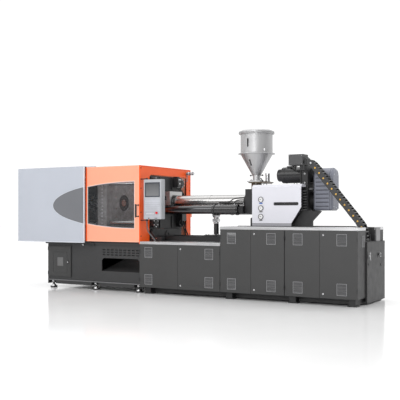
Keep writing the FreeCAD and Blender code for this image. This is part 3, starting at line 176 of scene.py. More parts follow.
def blend_colours(tree, factor, first, second):
    """Mix two colours; each is a socket or an RGB triple."""
    node = tree.nodes.new("ShaderNodeMix")
    node.data_type = "RGBA"
    tree.links.new(factor, node.inputs["Factor"])
    for socket, colour in (("A", first), ("B", second)):
        target = [s for s in node.inputs if s.name == socket and s.type == "RGBA"][0]
        if isinstance(colour, tuple):
            target.default_value = (*colour, 1)
        else:
            tree.links.new(colour, target)
    return [s for s in node.outputs if s.type == "RGBA"][0]


def bumped(tree, height, strength, distance, before=None):
    """A normal raised by a pattern, on top of an earlier one if given."""
    node = tree.nodes.new("ShaderNodeBump")
    node.inputs["Strength"].default_value = strength
    node.inputs["Distance"].default_value = distance
    tree.links.new(height, node.inputs["Height"])
    if before is not None:
        tree.links.new(before, node.inputs["Normal"])
    return node.outputs["Normal"]


def tinted(colour, factor):
    """A colour made darker or lighter."""
    return tuple(min(1.0, c * factor) for c in colour)


def paint(name, colour, rough=0.42, grain=0.25, vary=0.06, coat=0.0, peel=420.0):
    """Powder coat or enamel: slow colour drift, fine orange peel and uneven gloss."""
    made, tree, shader, place = shader_base(name)
    drift = noise(tree, place, 1.7, 3.0)
    fine = noise(tree, place, peel, 2.0)
    tone = blend_colours(tree, ranged(tree, drift, 0, 1), tinted(colour, 1 - vary), tinted(colour, 1 + vary))
    tree.links.new(tone, shader.inputs["Base Color"])
    tree.links.new(ranged(tree, noise(tree, place, 9.0), rough - 0.05, rough + 0.05), shader.inputs["Roughness"])
    tree.links.new(bumped(tree, fine, grain, 0.0004), shader.inputs["Normal"])
    if coat:
        shader.inputs["Coat Weight"].default_value = coat
        shader.inputs["Coat Roughness"].default_value = 0.12
    return made


def casting(name, colour, rough=0.5):
    """Painted casting: sand texture under the paint and darker hollows."""
    made, tree, shader, place = shader_base(name)
    grit = noise(tree, place, 160.0, 5.0, 0.65)
    lumps = noise(tree, place, 14.0, 4.0)
    tone = blend_colours(tree, ranged(tree, lumps, 0, 1), tinted(colour, 0.75), tinted(colour, 1.3))
    tree.links.new(tone, shader.inputs["Base Color"])
    tree.links.new(ranged(tree, grit, rough - 0.1, rough + 0.12), shader.inputs["Roughness"])
    normal = bumped(tree, grit, 0.35, 0.0015)
    tree.links.new(bumped(tree, lumps, 0.25, 0.004, normal), shader.inputs["Normal"])
    return made


def brushed(name, colour, rough, lines, bump=0.08, vary=0.08):
    """Bare metal with fine lines: lines gives the coordinate stretch across the grain."""
    made, tree, shader, place = shader_base(name)
    grain = noise(tree, stretched(tree, place, lines), 1.0, 6.0, 0.7)
    cloud = noise(tree, place, 2.3, 3.0)
    tone = blend_colours(tree, ranged(tree, grain, 0, 1), tinted(colour, 1 - vary), tinted(colour, 1 + vary))
    tree.links.new(blend_colours(tree, ranged(tree, cloud, 0, 0.35), tone, tinted(colour, 0.85)),
                   shader.inputs["Base Color"])
    tree.links.new(ranged(tree, grain, rough * 0.75, rough * 1.3), shader.inputs["Roughness"])
    tree.links.new(bumped(tree, grain, bump, 0.0006), shader.inputs["Normal"])
    shader.inputs["Metallic"].default_value = 1.0
    return made


def plastic(name, colour, rough=0.45, grain=0.15):
    """Moulded plastic with a spark-eroded texture."""
    made, tree, shader, place = shader_base(name)
    fine = noise(tree, place, 700.0, 3.0)
    cloud = ranged(tree, noise(tree, place, 6.0), 0, 1)
    tone = blend_colours(tree, cloud, tinted(colour, 0.92), tinted(colour, 1.1))
    tree.links.new(tone, shader.inputs["Base Color"])
    tree.links.new(ranged(tree, fine, rough - 0.06, rough + 0.08), shader.inputs["Roughness"])
    tree.links.new(bumped(tree, fine, grain, 0.0003), shader.inputs["Normal"])
    return made


def above(tree, place, axis, level, width=0.0005):
    """1 beyond a level along one axis, 0 before it."""
    split = tree.nodes.new("ShaderNodeSeparateXYZ")
    tree.links.new(place, split.inputs[0])
    return ranged(tree, split.outputs[axis], 0.0, 1.0, level - width, level + width)


def two_tone(name, base, axis, level, beyond, rough, metallic=0.0):
    """A copy of a material whose colour, gloss and metal change beyond a level along one axis."""
    made = base.copy()
    made.name = name
    tree = made.node_tree
    shader = tree.nodes["Principled BSDF"]
    place = tree.nodes.new("ShaderNodeTexCoord").outputs["Object"]
    mask = above(tree, place, axis, level)
    cloud = ranged(tree, noise(tree, place, 30.0), 0, 1)
    second = blend_colours(tree, cloud, tinted(beyond, 0.92), tinted(beyond, 1.08))
    first = shader.inputs["Base Color"].links[0].from_socket
    tree.links.new(blend_colours(tree, mask, first, second), shader.inputs["Base Color"])
    if metallic != shader.inputs["Metallic"].default_value:
        metal = shader.inputs["Metallic"].default_value
        tree.links.new(ranged(tree, mask, metal, metallic, 0, 1), shader.inputs["Metallic"])
    tree.links.new(ranged(tree, noise(tree, place, 60.0), rough * 0.85, rough * 1.15), shader.inputs["Roughness"])
    return made


def glass(name, colour, alpha, rough=0.06):
    """Tinted clear sheet: part see-through, with faint smears in its gloss."""
    made, tree, shader, place = shader_base(name)
    smear = noise(tree, place, 3.5, 5.0)
    tree.links.new(blend_colours(tree, ranged(tree, smear, 0, 1), tinted(colour, 0.9), tinted(colour, 1.1)),
                   shader.inputs["Base Color"])
    tree.links.new(ranged(tree, smear, rough, rough * 2.0), shader.inputs["Roughness"])
    shader.inputs["Alpha"].default_value = alpha
    return made


def screen_glass(name):
    """Dark display: a soft vertical gradient under smooth glass."""
    made, tree, shader, place = shader_base(name)
    split = tree.nodes.new("ShaderNodeSeparateXYZ")
    tree.links.new(place, split.inputs[0])
    rise = ranged(tree, split.outputs["Z"], 0.0, 1.0, 1.6, 1.84)
    tone = blend_colours(tree, rise, (0.2, 0.205, 0.21), (0.075, 0.078, 0.082))
    cloud = ranged(tree, noise(tree, place, 5.0), 0.0, 0.3)
    tree.links.new(blend_colours(tree, cloud, tone, (0.2, 0.2, 0.21)), shader.inputs["Base Color"])
    tree.links.new(ranged(tree, noise(tree, place, 40.0), 0.1, 0.16), shader.inputs["Roughness"])
    return made


def floor_finish():
    """Pale polished floor with a weak, slightly soft mirror."""
    made, tree, shader, place = shader_base("floor_finish")
    cloud = noise(tree, place, 0.6, 3.0)
    tree.links.new(blend_colours(tree, ranged(tree, cloud, 0, 1), (0.95, 0.95, 0.95), (0.98, 0.98, 0.98)),
                   shader.inputs["Base Color"])
    tree.links.new(ranged(tree, cloud, 0.1, 0.14), shader.inputs["Roughness"])
    shader.inputs["Specular IOR Level"].default_value = 0.35
    return made


ORANGE = (0.93, 0.115, 0.012)
M = {
    "bed": paint("bed_coat", (0.032, 0.032, 0.033), 0.5, 0.35),
    "door": paint("door_coat", (0.038, 0.038, 0.038), 0.5, 0.35),
    "shell": paint("shell_coat", (0.45, 0.475, 0.53), 0.4, 0.15, 0.02),
    "inlay": paint("inlay_coat", (0.15, 0.155, 0.168), 0.45, 0.15, 0.03),
    "trim": paint("trim_coat", (0.62, 0.65, 0.7), 0.35, 0.12, 0.03),
    "guard": paint("guard_coat", ORANGE, 0.5, 0.12, 0.03),
    # painted light: a paler, glossier copy of the orange guard paint, standing in for the strong front light on the
    # sliding doors
    "orange_lit_front": paint("orange_lit_front_coat", (0.92, 0.36, 0.23), 0.38, 0.12, 0.02, 0.25),
    "cover": paint("cover_coat", (0.66, 0.66, 0.71), 0.42, 0.15, 0.02),
    "panel": paint("panel_coat", (0.39, 0.4, 0.42), 0.38, 0.12, 0.03),
    "blue_grey": paint("belt_cover_coat", (0.21, 0.22, 0.265), 0.42, 0.15, 0.05),
    "motor": paint("motor_coat", (0.02, 0.02, 0.021), 0.28, 0.2, 0.15),
    "box": paint("box_coat", (0.06, 0.06, 0.062), 0.5, 0.25),
    "bronze": paint("bronze_coat", (0.09, 0.065, 0.04), 0.4, 0.2, 0.15),
    "black_gloss": paint("black_gloss_coat", (0.013, 0.013, 0.014), 0.26, 0.1, 0.1, 0.3),
    "black": paint("black_coat", (0.014, 0.014, 0.015), 0.4, 0.25, 0.2),
    "silver": brushed("silver_sheet", (0.68, 0.68, 0.69), 0.32, (3.0, 260.0, 260.0), 0.05),
    "casting": casting("black_casting", (0.014, 0.014, 0.015)),
    "platen": casting("platen_casting", (0.27, 0.27, 0.275), 0.45),
    "steel": brushed("machined_steel", (0.52, 0.52, 0.53), 0.28, (240.0, 40.0, 40.0)),
    "bright": brushed("bright_steel", (0.75, 0.75, 0.76), 0.2, (60.0, 60.0, 60.0)),
    "chrome": brushed("chrome_bar", (0.66, 0.66, 0.67), 0.16, (420.0, 6.0, 6.0), 0.02, 0.03),
    # painted shade: the chrome bar finish made near black, standing in for the dark reflections along the traverse
    # rods
    "shaded_chrome": brushed("shaded_chrome_rod", (0.085, 0.085, 0.088), 0.14, (420.0, 6.0, 6.0), 0.02, 0.03),
    "jacket": brushed("stainless_jacket", (0.4, 0.395, 0.39), 0.2, (6.0, 320.0, 320.0), 0.03, 0.04),
    "hopper": brushed("stainless_hopper", (0.5, 0.5, 0.505), 0.5, (14.0, 14.0, 420.0), 0.06),
    "guard_sheet": brushed("guard_sheet", (0.5, 0.5, 0.5), 0.42, (10.0, 200.0, 200.0), 0.05),
    "brass": brushed("brass", (0.8, 0.52, 0.16), 0.3, (90.0, 90.0, 90.0), 0.05),
    "black_plastic": plastic("black_plastic", (0.016, 0.016, 0.017)),
    "grey_plastic": plastic("grey_plastic", (0.22, 0.225, 0.235), 0.4),
    "light_plastic": plastic("light_plastic", (0.6, 0.61, 0.63), 0.4),
    "blue_plastic": plastic("blue_plastic", (0.02, 0.11, 0.42), 0.4),
    "red": plastic("red_plastic", (0.62, 0.012, 0.012), 0.25, 0.05),
    "chain": plastic("chain_nylon", (0.03, 0.03, 0.031), 0.42, 0.2),
    "conduit": plastic("conduit_grey", (0.1, 0.1, 0.105), 0.5, 0.3),
    "rubber": plastic("rubber", (0.02, 0.02, 0.02), 0.7, 0.4),
    "dial": plastic("dial_white", (0.8, 0.8, 0.8), 0.5, 0.05),
    "window": glass("window_sheet", (0.1, 0.105, 0.11), 0.14),
    "sight": glass("sight_glass", (0.015, 0.015, 0.016), 0.96),
    "screen": screen_glass("screen_glass"),
    "vent_frame": paint("vent_frame_coat", (0.3, 0.3, 0.31), 0.4, 0.2, 0.05),
    "vent_blade": paint("vent_blade_coat", (0.15, 0.15, 0.155), 0.45, 0.2, 0.05),
    "post_grey": paint("post_coat", (0.22, 0.22, 0.225), 0.4, 0.2, 0.05),
    "plate_grey": brushed("plate_grey", (0.22, 0.22, 0.22), 0.4, (80.0, 6.0, 6.0), 0.05),
    "seal_grey": plastic("seal_grey", (0.45, 0.46, 0.48), 0.5, 0.2),
    # painted highlight: a still paler copy of the orange paint, laid on the doors' folded edges and window border
    "orange_highlight": paint("orange_highlight_coat", (0.95, 0.48, 0.34), 0.35, 0.1, 0.02, 0.25),
    "bezel": plastic("bezel_dark", (0.02, 0.026, 0.04), 0.3, 0.1),
    "facia": plastic("facia_grey", (0.4, 0.41, 0.445), 0.42, 0.05),
    "key_grey": plastic("key_grey", (0.47, 0.48, 0.52), 0.4, 0.05),
    "gauge_rim": brushed("gauge_rim", (0.12, 0.12, 0.125), 0.25, (60.0, 60.0, 60.0), 0.03),
    "skirt_grey": paint("skirt_coat", (0.28, 0.28, 0.3), 0.4, 0.15, 0.03),
    "bridge_grey": casting("bridge_grey", (0.085, 0.085, 0.088), 0.45),
    # dark blue-grey for the belt cover's seams, which are dark joints, and for its ribs, where it is painted shadow
    "cover_seam_and_rib_shade": paint("cover_seam_and_rib_shade_coat", (0.055, 0.06, 0.08), 0.4, 0.15, 0.05),
    "pin_yellow": plastic("pin_yellow", (0.62, 0.36, 0.06), 0.35, 0.1),
}
M["end_panel"] = two_tone("end_panel_coat", M["guard"], "X", -0.5342, (0.014, 0.014, 0.015), 0.4)
M["slide"] = two_tone("slide_finish", M["bronze"], "Z", 1.8406, (0.42, 0.42, 0.425), 0.3, 1.0)


def add_floor():
    """A wide flat floor under the machine."""
    bm = bmesh.new()
    reach = 60.0
    bm.faces.new([bm.verts.new((x, y, 0)) for x, y in rectangle(-reach, reach, -reach, reach)])
    mesh = bpy.data.meshes.new("floor")
    bm.to_mesh(mesh)
    bm.free()
    floor = bpy.data.objects.new("floor", mesh)
    mesh.materials.append(floor_finish())
    bpy.context.scene.collection.objects.link(floor)


# ---------------------------------------------------------------- mesh building

SHARP = math.radians(32)


class Shape:
    """A mesh under construction, made of closed bodies in the machine's frame."""

    def __init__(self):
        self.bm = bmesh.new()

    def prism(self, outline, axis, low, high):
        """Push a flat outline of (first, second) points along an axis; the two are the other axes in order."""
        rows = []
        for level in (low, high):
            rows.append([self.bm.verts.new(spot(axis, level, a, b)) for a, b in outline])
        count = len(outline)
        self.bm.faces.new(rows[0])
        self.bm.faces.new(rows[1])
        for i in range(count):
            j = (i + 1) % count
            self.bm.faces.new((rows[0][i], rows[0][j], rows[1][j], rows[1][i]))
        return self

    def frame(self, outer, inner, axis, low, high):
        """A rim between two outlines with the same number of points."""
        count = len(outer)
        loops = []
        for level, outline in ((low, outer), (low, inner), (high, inner), (high, outer)):
            loops.append([self.bm.verts.new(spot(axis, level, a, b)) for a, b in outline])
        for k in range(4):
            first, second = loops[k], loops[(k + 1) % 4]
            for i in range(count):
                j = (i + 1) % count
                self.bm.faces.new((first[i], first[j], second[j], second[i]))
        return self

    def block(self, low, high):
        """A box from its low corner to its high corner."""
        return self.prism([(low[1], low[2]), (high[1], low[2]), (high[1], high[2]), (low[1], high[2])],
                          "x", low[0], high[0])

    def turned(self, profile, axis, centre, steps=32):
        """Spin a closed profile of (along, radius) about a line along an axis, at one centre or a list of them."""
        if isinstance(centre, list):
            for place in centre:
                self.turned(profile, axis, place, steps)
            return self
        rings = []
        for along, radius in profile:
            ring = []
            count = 1 if radius < 1e-7 else steps
            for i in range(count):
                angle = math.tau * i / steps
                a = centre[0] + radius * math.cos(angle)
                b = centre[1] + radius * math.sin(angle)
                ring.append(self.bm.verts.new(spot(axis, along, a, b)))
            rings.append(ring)
        for first, second in zip(rings, rings[1:] + rings[:1]):
            if len(first) == 1 and len(second) == 1:
                continue
            for i in range(steps):
                j = (i + 1) % steps
                corners = [first[i % len(first)], first[j % len(first)],
                           second[j % len(second)], second[i % len(second)]]
                unique = list(dict.fromkeys(corners))
                self.bm.faces.new(unique)
        return self

    def disc(self, axis, low, high, centre, radius, steps=24, soft=0.15):
        """A round boss whose outer edges are eased."""
        ease = min(radius, abs(high - low)) * soft
        way = 1 if high > low else -1
        profile = [(low, 0), (low, radius), (high - way * ease, radius), (high, radius - ease), (high, 0)]
        return self.turned(profile, axis, centre, steps)

    def ring(self, axis, low, high, centre, inner, outer, steps=32):
        """A plain band between two radii."""
        return self.turned([(low, inner), (low, outer), (high, outer), (high, inner)], axis, centre, steps)

    def border(self, outline, by, axis, low, high):
        """A rim of one width just inside an outline."""
        return self.frame(outline, shrunk(outline, by), axis, low, high)

    def hexagon(self, axis, low, high, centre, radius):
        """A nut or bolt head with six flats, at one centre or a list of them."""
        if isinstance(centre, list):
            for place in centre:
                self.hexagon(axis, low, high, place, radius)
            return self
        angles = [math.tau * i / 6 for i in range(6)]
        outline = [(centre[0] + radius * math.cos(a), centre[1] + radius * math.sin(a)) for a in angles]
        return self.prism(outline, axis, low, high)

    def bolt_circle(self, axis, low, high, centre, reach, count, radius):
        """Hexagon heads spaced evenly about a centre, the first half a step round."""
        angles = [math.tau * (step + 0.5) / count for step in range(count)]
        places = [(centre[0] + reach * math.cos(a), centre[1] + reach * math.sin(a)) for a in angles]
        return self.hexagon(axis, low, high, places, radius)

    def tube(self, points, radius, sides=12):
        """A round bar along a line of points, closed at both ends."""
        spots = [Vector(p) for p in points]
        rings = []
        side = None
        for i, here in enumerate(spots):
            ahead = spots[min(i + 1, len(spots) - 1)] - spots[max(i - 1, 0)]
            ahead.normalize()
            if side is None:
                side = ahead.orthogonal().normalized()
            side = (side - ahead * side.dot(ahead)).normalized()
            up = ahead.cross(side)
            rings.append([self.bm.verts.new(here + (side * math.cos(math.tau * k / sides)
                                                    + up * math.sin(math.tau * k / sides)) * radius)
                          for k in range(sides)])
        for first, second in zip(rings, rings[1:]):
            for k in range(sides):
                j = (k + 1) % sides
                self.bm.faces.new((first[k], first[j], second[j], second[k]))
        self.bm.faces.new(rings[0])
        self.bm.faces.new(rings[-1])
        return self

    def done(self, name, material, body=None, ease=0.0, steps=2):
        """Make the object, with its edges eased by a bevel, and set it on its body."""
        bmesh.ops.recalc_face_normals(self.bm, faces=self.bm.faces)
        for face in self.bm.faces:
            face.smooth = True
        for edge in self.bm.edges:
            if len(edge.link_faces) == 2 and edge.calc_face_angle() > SHARP:
                edge.smooth = False
        mesh = bpy.data.meshes.new(name)
        self.bm.to_mesh(mesh)
        self.bm.free()
        mesh.materials.append(M[material])
        made = bpy.data.objects.new(name, mesh)
        bpy.context.scene.collection.objects.link(made)
        if ease:
            bevel = made.modifiers.new("ease", "BEVEL")
            bevel.width = ease
            bevel.segments = steps
            bevel.limit_method = "ANGLE"
            bevel.angle_limit = SHARP
            bevel.harden_normals = True
        if body:
            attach(made, body)
        return made


def spot(axis, along, a, b):
    """A point from its place along an axis and on the two other axes in order."""
    if axis == "x":
        return (along, a, b)
    if axis == "y":
        return (a, along, b)
    return (a, b, along)


def rectangle(left, right, low, high, corner=0.0, steps=4):
    """A rectangle with round corners, as an outline."""
    if corner <= 0:
        return [(left, low), (right, low), (right, high), (left, high)]
    points = []
    centres = ((right - corner, low + corner, -90), (right - corner, high - corner, 0),
               (left + corner, high - corner, 90), (left + corner, low + corner, 180))
    for x, z, start in centres:
        for k in range(steps + 1):
            angle = math.radians(start + 90 * k / steps)
            points.append((x + corner * math.cos(angle), z + corner * math.sin(angle)))
    return points


def shrunk(outline, by):
    """A round-cornered outline moved inwards, by scaling it about its middle."""
    xs = [p[0] for p in outline]
    zs = [p[1] for p in outline]
    cx, cz = (min(xs) + max(xs)) / 2, (min(zs) + max(zs)) / 2
    sx = 1 - 2 * by / (max(xs) - min(xs))
    sz = 1 - 2 * by / (max(zs) - min(zs))
    return [(cx + (x - cx) * sx, cz + (z - cz) * sz) for x, z in outline]


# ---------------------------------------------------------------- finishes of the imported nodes

NODE_FINISH = {
    "clamp_bed": "bed", "injection_bed": "bed", "levelling_feet": "casting", "cabinet_hinges": "black",
    "clamp_bed_door": "door", "selector_lever": "bright", "selector_knob": "black_plastic",
    "fixed_platen": "casting", "tie_bars": "chrome", "tie_bar_nuts": "black", "adjusting_nuts": "black",
    "tail_platen": "casting", "clamp_cylinder": "casting", "crosshead": "steel",
    "rear_link_upper": "casting", "rear_link_lower": "casting", "front_link_upper": "casting",
    "front_link_lower": "casting", "drive_link_upper": "steel", "drive_link_lower": "steel",
    "moving_platen": "platen", "ejector": "steel", "clamp_shell": "shell", "guard_frame": "black",
    # the sliding doors take the paler orange copy, which is painted light
    "end_panel": "end_panel", "front_door": "orange_lit_front", "front_window": "window",
    "front_handle": "black_plastic", "rear_door": "orange_lit_front", "alarm_lamp": "grey_plastic",
    "operator_panel": "panel", "stop_button": "red", "injection_rails": "black", "carriage": "casting",
    "barrel": "steel", "nozzle": "steel", "barrel_cover": "jacket", "feed_screw": "steel",
    # the traverse rods take the darkened chrome, which is painted shade
    "injection_ram": "steel", "nozzle_guard": "guard_sheet", "traverse_rods": "shaded_chrome",
    "traverse_cylinders": "black_gloss", "barrel_support": "black", "injection_cover": "cover",
    "hopper": "hopper", "hopper_lid": "hopper", "hopper_slide": "slide", "drive_motor": "motor",
    "motor_pulley": "steel", "screw_pulley": "steel", "belt_cover": "blue_grey", "junction_box": "box",
}


def finish_nodes():
    """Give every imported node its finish."""
    finishes = dict(NODE_FINISH)
    for number in range(1, 7):
        finishes[f"cabinet_door_{number}"] = "door"
    for name, finish in finishes.items():
        mesh = nodes[name].data
        if not mesh.materials:
            mesh.materials.append(None)
        for index in range(len(mesh.materials)):
            mesh.materials[index] = M[finish]


# ---------------------------------------------------------------- the cord

CONDUIT_ROUTE = (
    (-0.425, -0.752, 1.21), (-0.425, -0.752, 1.11), (-0.395, -0.75, 1.01),
    (-0.31, -0.748, 0.94), (-0.25, -0.746, 0.86),
)
CONDUIT_RADIUS = 0.01


def add_conduit():
    """The operator panel's conduit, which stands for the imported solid."""
    curve = bpy.data.curves.new("panel_conduit_cord", "CURVE")
    curve.dimensions = "3D"
    curve.bevel_depth = CONDUIT_RADIUS
    curve.bevel_resolution = 6
    curve.resolution_u = 16
    curve.use_fill_caps = True
    spline = curve.splines.new("NURBS")
    spline.points.add(len(CONDUIT_ROUTE) - 1)
    for point, place in zip(spline.points, CONDUIT_ROUTE):
        point.co = (*place, 1)
    spline.order_u = 3
    spline.use_endpoint_u = True
    curve.materials.append(M["conduit"])
    cord = bpy.data.objects.new("panel_conduit_cord", curve)
    bpy.context.scene.collection.objects.link(cord)
    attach(cord, "root")
    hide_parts("panel_conduit")


# ---------------------------------------------------------------- injection bed

BED_FRONT = -0.79
BED_BACK = 0.417
DOOR_FRONT = -0.807
MID = (-0.533, 0.997, 0.86)       # left, right and top of the middle bed
HIGH = (0.997, 3.2, 1.12)         # left, right and top of the high bed
RECESS = (3.03, -0.439, -0.02)   # left, front and back of the chain recess
LIP = 0.04                        # height of the folded front edge of the top sheets


def add_top_sheets():
    """Silver top sheets with folded edges, one on each height of the bed."""
    left, right, top = MID
    (Shape().block((left, DOOR_FRONT, top), (right - SHEET, BED_BACK + SHEET, top + SHEET))
     .block((left, DOOR_FRONT, top - LIP + FINE), (right - SHEET, BED_FRONT - FINE, top - FINE / 4))
     .block((left, BED_BACK + FINE / 4, top - LIP), (right - SHEET, BED_BACK + SHEET, top - FINE / 4))
     .done("mid_top_sheet", "silver", "root", 0.0012))
    left, right, top = HIGH
    cut_left, cut_front, cut_back = RECESS
    outline = [(left - SHEET, DOOR_FRONT), (right + SHEET, DOOR_FRONT), (right + SHEET, cut_front),
               (cut_left, cut_front), (cut_left, cut_back), (right + SHEET, cut_back),
               (right + SHEET, BED_BACK + SHEET), (left - SHEET, BED_BACK + SHEET)]
    sheet = Shape()
    sheet.prism(outline, "z", top, top + SHEET)
    sheet.block((left - SHEET, DOOR_FRONT, top - LIP + FINE), (right + SHEET, BED_FRONT - FINE, top - FINE / 4))
    sheet.block((left - SHEET, BED_BACK + FINE / 4, top - LIP), (right + SHEET, BED_BACK + SHEET, top - FINE / 4))
    sheet.block((left - SHEET, BED_FRONT, top - LIP), (left - FINE / 4, BED_BACK, top - FINE / 4))
    for low, high in ((BED_FRONT, cut_front), (cut_back, BED_BACK)):
        sheet.block((right + FINE / 4, low, top - LIP), (right + SHEET, high, top - FINE / 4))
    sheet.done("high_top_sheet", "silver", "root", 0.0012)


VENT_WIDTH = 0.15
VENT_HEIGHT = 0.17
VENT_LOW = 0.155
VENT_DROP = 0.09                  # from the cabinet top down to the upper vent
VENT_INSETS = (0.1, 0.12, 0.125, 0.136, 0.128, 0.15)
HINGE_SIDES = ("left", "right", "left", "right", "left", "right")


def door_top(number):
    """Height of the cabinet top over a numbered door."""
    return MID[2] if number <= 2 else HIGH[2]


def vent_places(number):
    """Left edge and low edge of the two vents of a cabinet door."""
    low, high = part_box(f"cabinet_door_{number}")
    inset = VENT_INSETS[number - 1]
    left = low.x + inset if HINGE_SIDES[number - 1] == "left" else high.x - inset - VENT_WIDTH
    return [(left, VENT_LOW), (left, door_top(number) - VENT_DROP - VENT_HEIGHT)]


def add_grille(frames, blades, left, low, face, way):
    """A framed louvre grille on a face at y; way is -1 where the face looks at the operator."""
    outer = rectangle(left, left + VENT_WIDTH, low, low + VENT_HEIGHT, 0.006)
    frames.border(outer, 0.005, "y", face - way * FINE, face + way * 0.004)
    for row in range(12):
        z = low + 0.014 + row * (VENT_HEIGHT - 0.028) / 11
        blades.prism([(face + way * 0.0005, z - 0.004), (face + way * 0.0035, z - 0.004),
                      (face - way * 0.0035, z + 0.005), (face - way * 0.0045, z + 0.0035)],
                     "x", left + 0.004, left + VENT_WIDTH - 0.004)


def add_door_details():
    """Framed louvre grilles on every door, and quarter-turn latches on the doors that close last."""
    for number in range(1, 7):
        body = f"door_{number}"
        frames, blades = Shape(), Shape()
        for left, low in vent_places(number):
            add_grille(frames, blades, left, low, DOOR_FRONT, -1)
        frames.done(f"vent_frames_{number}", "vent_frame", body, 0.0008)
        blades.done(f"vent_blades_{number}", "vent_blade", body)
        if HINGE_SIDES[number - 1] == "right":
            low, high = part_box(f"cabinet_door_{number}")
            latches = Shape()
            for z in (low.z + 0.06, high.z - 0.066):
                x = low.x + 0.055
                latches.disc("y", DOOR_FRONT + FINE, DOOR_FRONT - 0.005, (x, z), 0.014)
                latches.block((x - 0.01, DOOR_FRONT - 0.008, z - 0.002), (x + 0.01, DOOR_FRONT - 0.004, z + 0.002))
            latches.done(f"latches_{number}", "bright", body, 0.0006)


def add_end_details():
    """Right end of the bed: vent panel, hinge post, key switches and edge trim."""
    face = HIGH[1]         # right face of the high bed
    (Shape().border(rectangle(-0.601, -0.489, 0.842, 1.003, 0.006), 0.005, "x", face - FINE, face + 0.004)
     .done("end_vent_frame", "vent_frame", "root", 0.0008))
    blades = Shape()
    for row in range(11):
        z = 0.856 + row * 0.0133
        blades.prism([(-0.597, z - 0.004), (-0.493, z - 0.004), (-0.493, z + 0.004), (-0.597, z + 0.004)],
                     "x", face - FINE, face + 0.003)
    blades.done("end_vent_blades", "vent_blade", "root", 0.001)
    (Shape().block((face + FINE / 2, 0.01, 0.912), (face + 0.02, 0.2, 1.112))
     .block((face + FINE / 2, 0.003, 1.1), (face + 0.024, 0.207, 1.116))
     .done("end_post", "post_grey", "root", 0.003))
    keys = Shape()
    end_face = 3.225       # right face of the low end cabinet
    for y, z in ((-0.384, 0.592), (0.203, 0.558)):
        keys.disc("x", end_face - FINE, end_face + 0.006, (y, z), 0.012)
        keys.block((end_face + 0.004, y - 0.002, z - 0.032), (end_face + 0.008, y + 0.002, z - 0.01))
    keys.done("end_key_switches", "black_plastic", "root", 0.0006)
    plates = Shape()
    for y, z, size in ((-0.375, 0.707, 0.042), (0.103, 0.707, 0.046)):
        outline = rectangle(y - size, y + size, z - size, z + size, 0.008)
        plates.prism(outline, "x", end_face - FINE, end_face + 0.0018)
    plates.done("end_switch_plates", "black", "root", 0.0005)
    (Shape().turned([(3.2371, 0.026), (3.2585, 0.0265), (3.2578, 0.0315), (3.2371, 0.0315)],
                    "x", (0.103, 0.707), 40)
     .block((3.2572, 0.1, 0.712), (3.258, 0.106, 0.733))
     .done("selector_ring", "bright", "knob", 0.0))


def add_recess_details():
    """Cable gland plate and cables at the chain's lower end."""
    floor = 0.918          # floor of the chain recess
    (Shape().block((3.045, -0.415, floor), (3.185, -0.225, floor + 0.006))
     .turned([(floor + 0.005, 0.0), (floor + 0.005, 0.02), (floor + 0.018, 0.02), (floor + 0.026, 0.013),
              (floor + 0.026, 0.0)], "z", grid((3.185,), (-0.385, -0.32, -0.255)), 20)
     .done("recess_gland_plate", "black", "root", 0.001))
    cables = Shape()
    for y in (-0.15, -0.105, -0.06):
        swings = [(t, math.sin(math.pi * t)) for t in shares(12)]
        cables.tube([(3.045 + 0.11 * t, y - 0.04 * out, 0.925 + 0.14 * out) for t, out in swings], 0.01)
    cables.done("recess_cables", "rubber", "root")


# ---------------------------------------------------------------- backs of the beds, clamp bed

def add_back_details():
    """Screwed covers on the backs of the beds, each with a louvre grille like the doors' own."""
    seams, screws, frames, blades = Shape(), Shape(), Shape(), Shape()
    clamp_low, clamp_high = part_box("clamp_bed")
    bed_low, bed_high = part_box("injection_bed")
    spans = [(clamp_low.x + 0.03, clamp_high.x - 0.03, clamp_low.z, clamp_high.z, clamp_high.y, 2),
             (MID[0] + 0.03, MID[1] - 0.01, bed_low.z, MID[2], bed_high.y, 2),
             (HIGH[0] + 0.01, HIGH[1] - 0.05, bed_low.z, HIGH[2], bed_high.y, 3)]
    for left, right, low, high, back, count in spans:
        width = (right - left) / count
        for step in range(count):
            start = left + step * width
            end = start + width
            outline = rectangle(start + 0.012, end - 0.012, low + 0.045, high - 0.075, 0.012)
            seams.border(outline, 0.003, "y", back - FINE, back + 0.0006)
            places = grid((start + 0.034, end - 0.034), (low + 0.067, (low + high - 0.03) / 2, high - 0.097))
            screws.disc("y", back - FINE, back + 0.003, places, 0.007)
            add_grille(frames, blades, end - 0.06 - VENT_WIDTH, high - 0.12 - VENT_HEIGHT, back, 1)
    seams.done("back_cover_seams", "black", "root")
    screws.done("back_cover_screws", "bright", "root", 0.0006)
    frames.done("back_vent_frames", "vent_frame", "root", 0.0008)
    blades.done("back_vent_blades", "vent_blade", "root")


